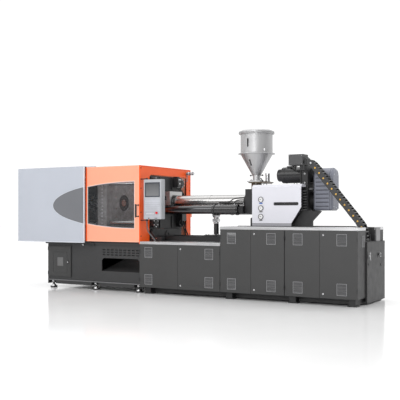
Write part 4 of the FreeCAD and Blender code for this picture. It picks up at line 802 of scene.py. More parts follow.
def add_clamp_bed_details():
    """Hatch fittings, seams, folded edges and the guard switch of the clamp bed."""
    front = -0.72          # front of the bed's sheet
    hatch = -0.737         # front of the hatch
    (Shape().block((-2.154, hatch - 0.003, 0.436), (-2.128, hatch + FINE, 0.496))
     .done("hatch_latch_plate", "black", "bed_hatch", 0.002))
    profile = [(hatch - 0.002, 0), (hatch - 0.002, 0.006), (hatch - 0.01, 0.006), (hatch - 0.014, 0.011),
               (hatch - 0.02, 0.013), (hatch - 0.026, 0.009), (hatch - 0.028, 0)]
    Shape().turned(profile, "y", (-2.141, 0.466), 28).done("hatch_knob", "bright", "bed_hatch")
    (Shape().border(rectangle(-2.505, -2.17, 0.262, 0.64, 0.03, 6), 0.01, "y", hatch - 0.0035, hatch + FINE)
     .done("hatch_pressed_rim", "door", "bed_hatch", 0.0015))
    (Shape().prism(rectangle(-2.395, -2.262, 0.392, 0.545, 0.006), "y", hatch - 0.0018, hatch + FINE)
     .done("hatch_blank_plate", "plate_grey", "bed_hatch", 0.0005))
    (Shape().block((-2.624, front - 0.003, 0.148), (-0.54, front + FINE, 0.158))
     .block((-2.078, front - 0.003, 0.158), (-2.072, front + FINE, 0.786))
     .done("bed_front_seams", "black", "root", 0.001))
    (Shape().block((-2.624, front - 0.006, 0.13), (-0.54, front + FINE, 0.147))
     .done("bed_lower_fold", "vent_blade", "root", 0.002))
    skirt = Shape()
    for low, high in ((front - 0.006, front + FINE), (-front - FINE, -front + 0.006)):
        skirt.block((-2.63, low, 0.074), (-2.612, high, 0.786))
    skirt.done("bed_corner_strips", "bed", "root", 0.002)
    (Shape().block((-2.672, -0.751, 0.8195), (-1.69, -0.745, 0.834))
     .done("bed_flange_lip", "black", "root", 0.001))
    (Shape().block((-1.8, -0.775, 0.776), (-1.755, -0.735, 0.789))
     .disc("z", 0.777, 0.768, (-1.778, -0.757), 0.012)
     .done("guard_switch_block", "bright", "root", 0.002))
    (Shape().prism([(-1.69, 0.845), (-1.64, 0.845), (-1.52, 0.8), (-1.54, 0.775), (-1.64, 0.775),
                    (-1.69, 0.8)], "y", -0.766, -0.75)
     .done("guard_stop_bracket", "black", "root", 0.003))


FOOT_X = (-2.528, -1.55, -0.632)
FOOT_Y = 0.68          # from the middle to a row of levelling feet


def add_feet():
    """Cone washers, lock nuts and gusset plates of the levelling feet under the clamp bed."""
    places = grid(FOOT_X, (-FOOT_Y, FOOT_Y))
    profile = [(0.0245, 0.0185), (0.0245, 0.05), (0.03, 0.048), (0.056, 0.026), (0.062, 0.0185)]
    Shape().turned(profile, "z", places, 36).done("foot_cones", "bright", "root", 0.0015)
    Shape().hexagon("z", 0.096, 0.121, places, 0.034).done("foot_lock_nuts", "bright", "root", 0.002)
    gussets = Shape()
    for x in FOOT_X:
        for y in (-FOOT_Y, FOOT_Y):
            for side in (-1, 1):
                a, b = x + side * 0.05, x + side * 0.104
                outline = [(a, 0.16), (b, 0.07), (b + side * 0.012, 0.07), (a + side * 0.026, 0.16)]
                front = y - 0.036 if y < 0 else y + 0.03
                gussets.prism(outline, "y", front, front + 0.006)
    gussets.done("foot_gussets", "black", "root", 0.001)


# ---------------------------------------------------------------- guards

WINDOW_CENTRE = (-0.639, 1.473)
WINDOW_HALF = (1.743, 0.396)
SHELL_RIGHT = -1.677
SHELL_HALF = 0.866                 # from the middle to the shell's front or rear face


def ellipse_height(x, grow=0.0):
    """Half height of the long ellipse shared by the window and the shell's inlay."""
    share = (x - WINDOW_CENTRE[0]) / (WINDOW_HALF[0] + grow)
    return (WINDOW_HALF[1] + grow) * math.sqrt(max(0.0, 1 - share * share))


def inlay_outline(grow, count=28):
    """The left tip of the ellipse, up to the shell's right edge."""
    tip = WINDOW_CENTRE[0] - WINDOW_HALF[0] - grow
    right = SHELL_RIGHT - 0.014
    xs = [tip + (right - tip) * share ** 2 for share in shares(count)]
    upper = [(x, WINDOW_CENTRE[1] + ellipse_height(x, grow)) for x in xs]
    lower = [(x, WINDOW_CENTRE[1] - ellipse_height(x, grow)) for x in reversed(xs[1:])]
    return upper + lower


def add_shell_details():
    """Inlay with its border, edge strip, roof seam and screws of the clamp shell, on both sides."""
    for side, name in ((-1, "front"), (1, "rear")):
        face = side * SHELL_HALF
        (Shape().prism(inlay_outline(0.0), "y", face - side * FINE, face + side * 0.003)
         .done(f"shell_inlay_{name}", "inlay", "root", 0.0008))
        (Shape().frame(inlay_outline(0.008), inlay_outline(0.0), "y", face - side * FINE, face + side * 0.004)
         .done(f"shell_inlay_border_{name}", "trim", "root"))
        (Shape().block((SHELL_RIGHT - 0.012, face - side * 0.03, 0.824),
                       (SHELL_RIGHT + 0.002, face + side * 0.003, 2.149))
         .done(f"shell_edge_strip_{name}", "trim", "root", 0.003))
        (Shape().block((-3.215, face - side * 0.02, 0.821), (SHELL_RIGHT - 0.013, face + side * 0.0015, 0.833))
         .done(f"shell_lower_fold_{name}", "trim", "root", 0.002))
    (Shape().block((-2.4515, -0.86, 2.1515), (-2.4485, 0.86, 2.1535))
     .done("shell_roof_seam", "inlay", "root"))
    screws = Shape()
    screws.disc("z", 2.1515, 2.1555, grid((-3.16, -2.8, -2.52, -2.38, -2.05, -1.75), (-0.83, 0.83)), 0.009, 16, 0.4)
    for y in (-0.75, -0.25, 0.25, 0.75):
        for z in (0.9, 1.5, 2.08):
            screws.disc("x", -3.2575, -3.261, (y, z), 0.009, 16, 0.4)
    screws.done("shell_screws", "trim", "root")
    track = Shape()
    for side in (-1, 1):
        track.block((SHELL_RIGHT + 0.003, side * 0.77, 2.1365), (-1.48, side * 0.812, 2.148))
    track.done("guard_top_tracks", "shell", "root", 0.002)


def window_outline(grow, count=40):
    """Right part of the ellipse, cut off by the door's window edges."""
    left = -1.645 - grow
    right = WINDOW_CENTRE[0] + grow
    xs = [left + (right - left) * share for share in shares(count)]
    upper = [(x, WINDOW_CENTRE[1] + ellipse_height(x, grow)) for x in xs]
    lower = [(x, WINDOW_CENTRE[1] - ellipse_height(x, grow)) for x in reversed(xs)]
    return lower + upper


def add_door_trim():
    """Window seal, eased border, runners and seams of the sliding guard doors."""
    front = DOOR_FRONT     # the guard door's face stands level with the cabinet doors
    (Shape().frame(window_outline(0.0), window_outline(-0.01), "y", front + 0.0008, front + 0.0048)
     .done("window_seal", "seal_grey", "front_guard", 0.0008))
    # the border and folds are real; their palest orange colour is painted highlight along the edges
    (Shape().frame(window_outline(0.012), window_outline(0.0), "y", front - 0.0025, front + FINE)
     .done("window_border", "orange_highlight", "front_guard", 0.0008))
    (Shape().block((-1.683, front - 0.0015, 0.849), (-0.551, front + FINE, 0.858))
     .block((-1.683, front - 0.0015, 2.125), (-0.551, front + FINE, 2.134))
     .block((-0.56, front - 0.0015, 0.858), (-0.551, front + FINE, 2.125))
     .done("front_door_folds", "orange_highlight", "front_guard", 0.0008))
    (Shape().block((-1.6845, front - 0.002, 0.85), (-1.656, front + FINE, 2.133))
     .done("front_door_edge", "guard", "front_guard", 0.001))
    for body, side in (("front_guard", -1), ("rear_guard", 1)):
        (Shape().turned([(side * 0.768, 0.006), (side * 0.768, 0.02), (side * 0.76, 0.022),
                         (side * 0.752, 0.02), (side * 0.752, 0.006)], "y",
                        grid((-1.6, -1.12, -0.64), (0.885, 2.098)), 28)
         .done(f"door_rollers_{body}", "grey_plastic", body))
    (Shape().disc("y", front + FINE, front - 0.005, grid((-0.559,), (1.28, 1.468)), 0.013, 24, 0.3)
     .done("handle_washers", "black_plastic", "front_guard"))
    (Shape().turned([(1.285, 0.0125), (1.285, 0.0145), (1.29, 0.0155), (1.458, 0.0155), (1.463, 0.0145),
                     (1.463, 0.0125)], "z", (-0.559, -0.884), 28)
     .done("handle_sleeve", "rubber", "front_guard"))
    # the rear door's rim takes the paler orange copy, which is painted light
    (Shape().border(rectangle(-1.56, -0.7, 1.1, 1.9, 0.05, 6), 0.012, "y", 0.8065, 0.81)
     .done("rear_door_pressed_rim", "orange_lit_front", "rear_guard", 0.001))


PANEL_HINGE = (-0.425, -0.752)     # x and y of the operator panel's hinge
LAMP = (0.663, 2.06)               # y and z of the alarm lamp's axis


def add_end_panel_details():
    """Rolled edges and screws of the orange end guard, and the panel hinge's caps."""
    face = -0.535          # right face of the end panel
    flange = Shape()
    for low, high in ((-0.806, -0.794), (0.794, 0.806)):
        flange.block((-0.5465, low, 0.864), (face + 0.006, high, 2.134))
    flange.block((-0.5465, -0.794, 2.122), (face + 0.006, 0.794, 2.134))
    flange.done("end_panel_flange", "guard", "root", 0.003)
    (Shape().hexagon("x", face - FINE, face + 0.006, grid((-0.77, 0.77), (0.95, 1.35, 1.75, 2.09)), 0.01)
     .done("end_panel_screws", "black", "root", 0.001))
    caps = Shape()
    for z, way in ((1.9102, 1), (1.2098, -1)):
        caps.disc("z", z, z + way * 0.008, PANEL_HINGE, 0.016, 24, 0.3)
    caps.done("panel_hinge_caps", "black", "root")
    lamp = Shape()
    for x in (-0.4801, -0.4201):
        lamp.ring("x", x, x + 0.02, LAMP, 0.0302, 0.0318, 36)
    lamp.turned([(-0.3805, 0.0), (-0.3805, 0.024), (-0.3765, 0.021), (-0.3765, 0.0)], "x", LAMP, 36)
    lamp.done("lamp_bands", "light_plastic", "root")


# ---------------------------------------------------------------- operator panel

def add_panel_details():
    """Display, keys, stop button collar, sockets and vents of the operator panel, all without lettering."""
    front = DOOR_FRONT     # the panel's face stands level with the doors
    display = rectangle(-0.425, -0.131, 1.6, 1.84, 0.006)
    (Shape().border(display, 0.016, "y", front - 0.0015, front + 0.0025)
     .done("screen_bezel", "bezel", "panel", 0.0008))
    (Shape().prism(shrunk(display, 0.0155), "y", front + 0.001, front + 0.0028)
     .done("screen_display", "screen", "panel", 0.0003))
    (Shape().prism(rectangle(-0.428, -0.128, 1.262, 1.58, 0.006), "y", front - 0.0008, front + FINE / 2)
     .done("panel_facia", "facia", "panel", 0.0003))
    sides = Shape()
    for left, right in ((-0.4475, -0.437), (-0.121, -0.0995)):
        sides.block((left, front - 0.004, 1.244), (right, front + FINE, 1.88))
    sides.done("panel_side_bars", "panel", "panel", 0.002)
    keys = Shape()
    for column in range(11):
        for row in range(5):
            x = -0.412 + column * 0.0265
            z = 1.385 + row * 0.036
            keys.prism(rectangle(x - 0.01, x + 0.01, z - 0.0125, z + 0.0125, 0.003, 2), "y",
                       front - 0.0022, front - 0.0007)
    keys.done("panel_membrane_keys", "key_grey", "panel", 0.0004)
    (Shape().border(rectangle(-0.412, -0.232, 1.3, 1.352, 0.004), 0.0025, "y", front - 0.0018, front - 0.0006)
     .done("panel_key_outline", "blue_grey", "panel"))
    row = [(-0.395 + 0.027 * step, 1.326) for step in range(6)]
    (Shape().disc("y", front - 0.0007, front - 0.0035, row, 0.008, 20, 0.3)
     .done("panel_small_keys", "light_plastic", "panel"))
    lower = Shape()
    lower.prism(rectangle(-0.362, -0.338, 1.243, 1.258, 0.002, 2), "y", front - 0.003, front + FINE)
    for x in (-0.222, -0.192):
        lower.prism(rectangle(x - 0.009, x + 0.009, 1.243, 1.258, 0.002, 2), "y", front - 0.003, front + FINE)
    lower.done("panel_sockets", "bezel", "panel", 0.0006)
    profile = [(front - 0.0001, 0.0205), (front - 0.0001, 0.025), (front - 0.0035, 0.025),
               (front - 0.005, 0.0235), (front - 0.005, 0.0205)]
    (Shape().turned(profile, "y", (-0.186, 1.338), 36)
     .done("stop_button_collar", "light_plastic", "panel"))
    back = Shape()
    back.border(rectangle(-0.44, -0.107, 1.244, 1.88, 0.01), 0.02, "y", -0.7075, -0.703)
    for row in range(8):
        z = 1.66 + row * 0.018
        back.prism(rectangle(-0.36, -0.19, z, z + 0.007, 0.003, 2), "y", -0.7075, -0.7045)
    back.done("panel_back_rim", "panel", "panel", 0.0008)
    (Shape().turned([(1.2335, 0.0), (1.2335, 0.02), (1.226, 0.02), (1.222, 0.014), (1.212, 0.013), (1.212, 0.0)],
                    "z", (-0.31, -0.752), 24)
     .done("panel_gland", "black_plastic", "panel"))


# ---------------------------------------------------------------- clamp unit

def add_platen_details():
    """Ribs, hose blocks and bolts on the injection side of the fixed platen."""
    face = -0.548          # injection side of the fixed platen
    ribs = Shape()
    for y in (-0.47, -0.19, 0.19, 0.47):
        for low, high in ((1.08, 1.3), (1.745, 1.96)):
            ribs.block((face - FINE, y - 0.014, low), (face + 0.016, y + 0.014, high))
    for z in (1.3, 1.745):
        ribs.block((face - FINE, -0.5, z - 0.012), (face + 0.016, 0.5, z + 0.012))
    ribs.done("fixed_platen_ribs", "casting", "root", 0.004)
    (Shape().block((face - FINE, -0.46, 0.87), (-0.512, 0.46, 1.064))
     .turned([(-0.513, 0.0), (-0.513, 0.07), (-0.498, 0.066), (-0.498, 0.03), (-0.508, 0.028), (-0.508, 0.0)],
             "x", (0.0, 0.965), 48)
     .done("fixed_platen_apron", "casting", "root", 0.004))
    (Shape().turned([(-0.4785, 0.0477), (-0.4785, 0.053), (-0.462, 0.053), (-0.458, 0.049), (-0.458, 0.0),
                     (-0.4615, 0.0), (-0.4615, 0.0477)], "x", TIE_BARS, 40)
     .done("tie_bar_end_caps", "black_plastic", "root"))
    bolts = Shape()
    for place in TIE_BARS:
        bolts.bolt_circle("x", -0.4785, -0.466, place, 0.064, 6, 0.01)
    bolts.done("tie_bar_nut_bolts", "bright", "root", 0.001)
    (Shape().block((face + FINE, 0.225, 1.8), (face + 0.115, 0.33, 1.965))
     .block((face + FINE, 0.24, 1.965), (face + 0.09, 0.315, 1.986))
     .block((face + FINE, 0.355, 1.2), (face + 0.12, 0.5, 1.43))
     .done("platen_manifolds", "black", "root", 0.005))
    hoses = Shape()
    swings = [(t, math.sin(math.pi * t)) for t in shares(14)]
    start = face + 0.09
    for y, low_y in ((0.245, 0.385), (0.277, 0.427), (0.309, 0.469)):
        hoses.tube([(start + 0.06 * out, y + (low_y - y) * t, 1.795 - 0.36 * t) for t, out in swings], 0.011)
    for y in (0.39, 0.45):
        hoses.tube([(start + 0.05 * t, y + 0.11 * t * t, 1.205 - 0.33 * t + 0.02 * out)
                    for t, out in swings], 0.011)
    hoses.done("platen_hoses", "rubber", "root")
    (Shape().hexagon("z", 1.786, 1.8005, grid((face + 0.09,), (0.245, 0.277, 0.309)), 0.014)
     .disc("x", face + 0.114, face + 0.124, [(0.25, 1.93), (0.3, 1.93), (0.275, 1.86)], 0.014, 20, 0.3)
     .done("platen_fittings", "bright", "root", 0.001))
    base = Shape()
    for y in (-0.48, 0.48):
        base.block((-0.79, y - 0.08, 0.8205), (-0.54, y + 0.08, 0.846))
    base.disc("x", -0.5405, -0.532, grid((-0.46, -0.4, -0.34), (0.834,)), 0.008, 18, 0.3)
    base.done("platen_foot_plates", "black", "root", 0.003)
    (Shape().block((-0.533, -0.5, 0.8635), (-0.3, -0.4, 0.935))
     .prism([(-0.533, 0.935), (-0.43, 0.935), (-0.533, 1.06)], "y", -0.5, -0.48)
     .done("platen_stop_block", "black", "root", 0.003))
    (Shape().disc("y", -0.4995, -0.505, grid((-0.49, -0.45, -0.41), (0.905,)), 0.007, 18, 0.3)
     .done("stop_block_screws", "bright", "root"))


def add_moving_platen_details():
    """Clamp hole rims, side screws, ribs, guide shoes and centre ring of the moving platen, and a black disc of
    painted shade in its centre recess.
    """
    left, right = -1.65, -1.45       # back and mould face of the moving platen
    heights = [AXIS_Z + z for z in (-0.385, -0.245, -0.105, 0.105, 0.245, 0.385)]
    (Shape().turned([(right + FINE / 4, 0.009), (right + FINE / 4, 0.0135), (right + 0.0015, 0.013),
                     (right + 0.0015, 0.009)], "x", grid((-0.245, 0.245), heights), 20)
     .done("mould_hole_rims", "bright", "moving"))
    row = [(-1.55, 1.16 + step * 0.06) for step in range(13)]
    (Shape().turned([(-0.5205, 0.0), (-0.5205, 0.012), (-0.5225, 0.011), (-0.5225, 0.0)], "y", row, 20)
     .done("moving_platen_side_screws", "light_plastic", "moving"))
    ribs = Shape()
    for side in (-1, 1):
        for x in (left + 0.012, right - 0.03):
            ribs.block((x, side * 0.52 - 0.004, 1.1), (x + 0.018, side * 0.52 + 0.004, 1.94))
    ribs.done("moving_platen_side_ribs", "platen", "moving", 0.002)
    shoes = Shape()
    for side in (-1, 1):
        for x in (left - 0.06, right + 0.0005):
            shoes.block((x, side * 0.3, 0.8215), (x + 0.0595, side * 0.52, 0.9))
    shoes.done("moving_platen_shoes", "steel", "moving", 0.004)
    (Shape().ring("x", right - 0.0145, right - 0.011, (0, AXIS_Z), 0.028, 0.06, 40)
     .done("moving_platen_centre_ring", "steel", "moving"))
    # painted shade: a black disc laid on the grey platen's centre recess
    (Shape().ring("x", right - 0.0148, right - 0.0138, (0, AXIS_Z), 0.0605, 0.1485, 56)
     .done("moving_platen_recess_shade", "casting", "moving"))


def add_toggle_details():
    """Toggle pin caps, grease lines, the clamp cylinder's bolts and the tie bars' threads past the nuts' reach."""
    pins = (("tail", (-2.032, 1.63), 0.195), ("tail", (-2.032, 1.41), 0.195),
            ("front_upper", (-1.886, 2.04507), 0.195), ("front_lower", (-1.886, 0.99493), 0.195))
    for number, (body, (x, z), half) in enumerate(pins, start=1):
        caps = Shape()
        for side in (-1, 1):
            caps.disc("y", side * half, side * (half + 0.01), (x, z), 0.036, 32, 0.25)
            for step in range(3):
                angle = math.tau * step / 3
                caps.disc("y", side * (half + 0.0095), side * (half + 0.015),
                          (x + 0.022 * math.cos(angle), z + 0.022 * math.sin(angle)), 0.005, 12, 0.3)
        caps.done(f"toggle_pin_caps_{number}", "bright", body)
    lines = Shape()
    for side in (-1, 1):
        for z in (1.49, 1.55):
            points = [(-2.121, side * 0.1, z + 0.02), (-2.105, side * 0.16, z + 0.03),
                      (-2.1, side * 0.26, z + 0.05), (-2.105, side * 0.34, z + 0.1),
                      (-2.1215, side * 0.4, z + 0.16)]
            lines.tube(smooth_line(points, 6), 0.005, 8)
    lines.done("grease_lines", "brass", "tail")
    (Shape().bolt_circle("x", -2.8425, -2.852, (0, AXIS_Z), 0.105, 8, 0.012)
     .done("clamp_cylinder_bolts", "bright", "tail", 0.001))
    left, pitch, turns = -2.619, 0.01, 11
    bar_radius = 0.0475
    profile = []
    for turn in range(turns):
        start = left + turn * pitch
        profile += [(start, bar_radius), (start + pitch / 2, bar_radius + 0.00025)]
    right = left + turns * pitch
    profile += [(right, bar_radius), (right, bar_radius - 0.0005), (left, bar_radius - 0.0005)]
    Shape().turned(profile, "x", TIE_BARS, 64).done("tie_bar_threads", "steel", "root")


def smooth_line(points, parts):
    """A Catmull-Rom line through the points, for pipes and hoses."""
    spots = [Vector(p) for p in points]
    spots = [spots[0] * 2 - spots[1]] + spots + [spots[-1] * 2 - spots[-2]]
    line = []
    for a, b, c, d in zip(spots, spots[1:], spots[2:], spots[3:]):
        for step in range(parts):
            t = step / parts
            line.append(0.5 * ((2 * b) + (c - a) * t + (2 * a - 5 * b + 4 * c - d) * t * t
                               + (3 * b - a - 3 * c + d) * t ** 3))
    line.append(spots[-2])
    return line


# ---------------------------------------------------------------- injection unit

def add_nozzle_guard_details():
    """End plate with its chamfered opening, dark sight window and top slots of the nozzle hood."""
    outline = [(-0.2045, 1.471), (-0.15, 1.471), (-0.15, 1.605), (-0.112, 1.645), (0.19, 1.645),
               (0.19, 1.7055), (-0.2045, 1.7055)]
    (Shape().prism(outline, "x", -0.334, -0.3302)
     .done("nozzle_guard_end", "guard_sheet", "nozzle_guard", 0.001))
    (Shape().block((-0.35, -0.2015, 1.471), (-0.348, -0.128, 1.705))
     .block((-0.35, 0.128, 1.471), (-0.348, 0.201, 1.705))
     .block((-0.35, -0.1285, 1.647), (-0.348, 0.1285, 1.705))
     .done("nozzle_guard_throat", "black", "nozzle_guard"))
    (Shape().prism(rectangle(-0.48, -0.4, 1.56, 1.625, 0.006), "y", -0.2052, -0.2072)
     .done("nozzle_guard_window", "sight", "nozzle_guard", 0.0005))
    rim = Shape()
    rim.border(rectangle(-0.486, -0.394, 1.554, 1.631, 0.008), 0.006, "y", -0.2051, -0.2085)
    for z in (1.475, 1.49):
        rim.block((-0.526, -0.208, z - 0.003), (-0.334, -0.2051, z + 0.003))
    rim.done("nozzle_guard_rim", "guard_sheet", "nozzle_guard", 0.0008)
    slots = Shape()
    for x in (-0.46, -0.39):
        slots.prism(rectangle(x - 0.02, x + 0.02, -0.12, 0.02, 0.012), "z", 1.7101, 1.7112)
    slots.done("nozzle_guard_slots", "sight", "nozzle_guard")


def add_barrel_details():
    """Bands of the barrel jacket, heater bands and leads of the nozzle, and the barrel's flange bolts."""
    bands = Shape()
    for x in (-0.286, 0.38, 1.035):
        bands.ring("x", x, x + 0.018, (0, AXIS_Z), 0.1191, 0.1225, 64)
    bands.done("jacket_bands", "jacket", "carriage", 0.0006)
    (Shape().bolt_circle("x", 1.0605, 1.05, (0, AXIS_Z), 0.1245, 12, 0.0065)
     .done("barrel_flange_bolts", "bright", "carriage", 0.0008))
    heaters = Shape()
    for start in (-0.415, -0.35):
        heaters.ring("x", start, start + 0.05, (0, AXIS_Z), 0.0655, 0.072, 48)
    heaters.done("nozzle_heater_bands", "steel", "carriage", 0.001)
    (Shape().ring("x", -0.6, -0.53, (0, AXIS_Z), 0.0345, 0.04, 40)
     .done("nozzle_tip_band", "steel", "carriage", 0.001))
    lead = Shape()
    for k, start in enumerate((-0.39, -0.335)):
        y = -0.02 - 0.02 * k
        points = [(start, y, AXIS_Z + 0.068), (start + 0.012, y, AXIS_Z + 0.088), (start + 0.03, y, AXIS_Z + 0.094),
                  (-0.2895, y, AXIS_Z + 0.094)]
        lead.tube(smooth_line(points, 6), 0.004, 8)
    lead.done("heater_leads", "rubber", "carriage")


TRAVERSE_Z = 1.388


def add_traverse_details():
    """Wiper rings, ports and tie studs of the two traverse cylinders."""
    for side, name in ((-1, "front"), (1, "rear")):
        y = side * 0.3
        (Shape().turned([(0.598, 0.069), (0.598, 0.082), (0.59, 0.08), (0.586, 0.074), (0.586, 0.069)], "x",
                        (y, TRAVERSE_Z), 48)
         .ring("x", 0.6265, 0.64, (y, TRAVERSE_Z), 0.0802, 0.086, 48)
         .done(f"traverse_wipers_{name}", "black_plastic", "carriage", 0.0008))
        (Shape().bolt_circle("x", 1.0465, 1.054, (y, TRAVERSE_Z), 0.0805, 8, 0.0065)
         .hexagon("z", 1.466, 1.486, grid((0.7, 0.985), (y,)), 0.016)
         .done(f"traverse_studs_{name}", "bright", "carriage", 0.0008))
        pipe = Shape()
        points = [(0.985, y, 1.484), (0.987, y * 0.99, 1.515), (1.01, y * 0.96, 1.535), (1.06, y * 0.9, 1.545),
                  (1.149, y * 0.8, 1.548)]
        pipe.tube(smooth_line(points, 6), 0.009, 12)
        points = [(0.7, y, 1.484), (0.702, y, 1.5), (0.72, y * 0.995, 1.508), (0.86, y * 0.985, 1.51),
                  (0.95, y * 0.93, 1.56), (1.04, y * 0.85, 1.58), (1.149, y * 0.8, 1.585)]
        pipe.tube(smooth_line(points, 6), 0.009, 12)
        pipe.done(f"traverse_pipes_{name}", "rubber", "carriage")


def add_support_details():
    """Screw jack under the barrel: fork head, adjusting nut and base bolts."""
    x = 0.475              # middle of the support
    fork = [(-0.078, 1.298), (-0.078, 1.392), (-0.1, 1.398), (-0.112, 1.33), (-0.072, 1.262),
            (0.072, 1.262), (0.112, 1.33), (0.1, 1.398), (0.078, 1.392), (0.078, 1.298)]
    (Shape().prism(fork, "x", x - 0.025, x + 0.025)
     .block((x - 0.05, -0.046, 1.19), (x + 0.05, 0.046, 1.24))
     .turned([(1.238, 0.0245), (1.238, 0.04), (1.262, 0.044), (1.262, 0.0245)], "z", (x, 0), 32)
     .done("support_fork", "steel", "root", 0.003))
    (Shape().turned([(1.158, 0.0245), (1.158, 0.046), (1.162, 0.05), (1.18, 0.05), (1.184, 0.046), (1.184, 0.0245)],
                    "z", (x, 0), 24)
     .done("support_lock_nut", "bright", "root"))
    pads = Shape()
    pads.prism([(-0.126, 1.314), (-0.1, 1.314), (-0.1, 1.352), (-0.14, 1.352)], "x", x - 0.019, x + 0.019)
    for side in (-1, 1):
        pads.disc("y", side * 0.1, side * 0.122, (x, 1.352), 0.012, 20, 0.3)
    pads.done("support_side_pins", "bright", "root")
    bolts = Shape()
    for dx in (-0.085, 0.085):
        for y in (-0.2, -0.11, 0.11, 0.2):
            bolts.hexagon("z", 0.9695, 0.984, (x + dx, y), 0.014)
    bolts.done("support_base_bolts", "bright", "root", 0.001)


GAUGES = ((1.513, 1.543), (1.513, 1.411), (1.513, 1.277))
COVER_FRONT = -0.42


def add_gauges():
    """Three pressure gauges with plain ticks and a needle each."""
    for number, (x, z) in enumerate(GAUGES, start=1):
        (Shape().turned([(COVER_FRONT + FINE, 0.035), (COVER_FRONT + FINE, 0.0435), (COVER_FRONT - 0.012, 0.0435),
                         (COVER_FRONT - 0.016, 0.041), (COVER_FRONT - 0.016, 0.038), (COVER_FRONT - 0.008, 0.037)],
                        "y", (x, z), 48)
         .done(f"gauge_ring_{number}", "gauge_rim", "carriage"))
        (Shape().disc("y", COVER_FRONT + FINE, COVER_FRONT - 0.006, (x, z), 0.0365, 48, 0.05)
         .done(f"gauge_face_{number}", "dial", "carriage"))
        marks = Shape()
        for step in range(11):
            angle = math.radians(225 - 27 * step)
            inner, outer = (0.025, 0.032) if step % 5 == 0 else (0.028, 0.032)
            bar(marks, x, z, angle, inner, outer, 0.0022, COVER_FRONT - 0.0059, COVER_FRONT - 0.0068)
        bar(marks, x, z, math.radians(225 - 54), -0.008, 0.024, 0.0032, COVER_FRONT - 0.0066, COVER_FRONT - 0.0078)
        marks.disc("y", COVER_FRONT - 0.0059, COVER_FRONT - 0.0088, (x, z), 0.0055, 20, 0.3)
        marks.done(f"gauge_marks_{number}", "black_plastic", "carriage")
        (Shape().prism(rectangle(x - 0.027, x + 0.027, z - 0.066, z - 0.047, 0.002, 2), "y", COVER_FRONT + FINE / 2,
                       COVER_FRONT - 0.0012)
         .done(f"gauge_plate_{number}", "blue_plastic" if number == 1 else "plate_grey", "carriage", 0.0003))


def bar(shape, x, z, angle, inner, outer, width, low, high):
    """A thin radial bar about (x, z), from one radius to another."""
    along = Vector((math.cos(angle), math.sin(angle)))
    across = Vector((-along.y, along.x)) * width / 2
    points = [along * inner - across, along * outer - across, along * outer + across, along * inner + across]
    shape.prism([(x + p.x, z + p.y) for p in points], "y", low, high)


def add_cover_details():
    """Slot rim, lower skirt, corner screws and lid seam of the injection cover."""
    (Shape().border(rectangle(1.733, 2.146, 1.451, 1.5, 0.02), 0.008, "y", COVER_FRONT + FINE, COVER_FRONT - 0.003)
     .done("cover_slot_rim", "black_plastic", "carriage", 0.0006))
    (Shape().block((1.734, COVER_FRONT + 0.01, 1.45), (2.145, COVER_FRONT + 0.014, 1.501))
     .done("cover_slot_shade", "black", "carriage"))
    skirt = Shape()
    for side in (-1, 1):
        skirt.block((1.361, side * 0.416, 1.1315), (2.029, side * 0.421, 1.1755))
    skirt.done("carriage_skirts", "skirt_grey", "carriage", 0.0015)
    screws = Shape()
    for side in (-1, 1):
        for x, z in ((1.385, 1.205), (1.385, 1.715), (1.985, 1.205), (2.165, 1.715), (1.78, 1.715)):
            screws.disc("y", side * 0.4195, side * 0.4235, (x, z), 0.008, 18, 0.35)
    screws.done("cover_screws", "trim", "carriage")
    (Shape().prism(rectangle(1.4, 2.12, -0.33, 0.33, 0.02), "z", 1.7755, 1.7785)
     .done("cover_top_lid", "cover", "carriage", 0.001))
    grips = Shape()
    for x in (1.5, 2.02):
        points = [(x, -0.29, 1.778), (x, -0.285, 1.8), (x, -0.262, 1.808), (x, -0.208, 1.808), (x, -0.185, 1.8),
                  (x, -0.18, 1.778)]
        grips.tube(smooth_line(points, 4), 0.005, 10)
    grips.done("cover_lid_grips", "black_plastic", "carriage")


HOPPER_X = 1.23
SLOT_ANGLE = math.radians(-90 - 6)    # the sight slots look towards the front left


def hopper_radius(z):
    """Outer radius of the hopper's cylinder, and of the cone under it."""
    return 0.261 if z > 2.292 else 0.074 + (0.261 - 0.074) * (z - 1.957) / (2.292 - 1.957)


def add_curved_slot(low, high, width, proud, name, material):
    """A strip with round ends laid on the hopper's skin."""
    shape = Shape()
    rows = 18
    front, back = [], []
    for row in range(rows + 1):
        share = row / rows
        z = low + (high - low) * share
        end = min(z - low, high - z)
        half = width / 2
        reach = half if end >= half else math.sqrt(max(0.0, half * half - (half - end) ** 2))
        reach = max(reach, 0.0008)
        line_front, line_back = [], []
        for column in range(5):
            across = reach * (column / 2 - 1)
            radius = hopper_radius(z)
            angle = SLOT_ANGLE + across / radius
            for line, out in ((line_front, proud), (line_back, -0.001)):
                r = radius + out
                line.append(shape.bm.verts.new((HOPPER_X + r * math.cos(angle), r * math.sin(angle), z)))
        front.append(line_front)
        back.append(line_back)
    for row in range(rows):
        for column in range(4):
            shape.bm.faces.new((front[row][column], front[row][column + 1], front[row + 1][column + 1],
                                front[row + 1][column]))
            shape.bm.faces.new((back[row][column], back[row + 1][column], back[row + 1][column + 1],
                                back[row][column + 1]))
        shape.bm.faces.new((front[row][0], front[row + 1][0], back[row + 1][0], back[row][0]))
        shape.bm.faces.new((front[row][4], back[row][4], back[row + 1][4], front[row + 1][4]))
    for end in (0, rows):
        for column in range(4):
            shape.bm.faces.new((front[end][column], front[end][column + 1],
                                back[end][column + 1], back[end][column]))
    shape.done(name, material, "hopper")


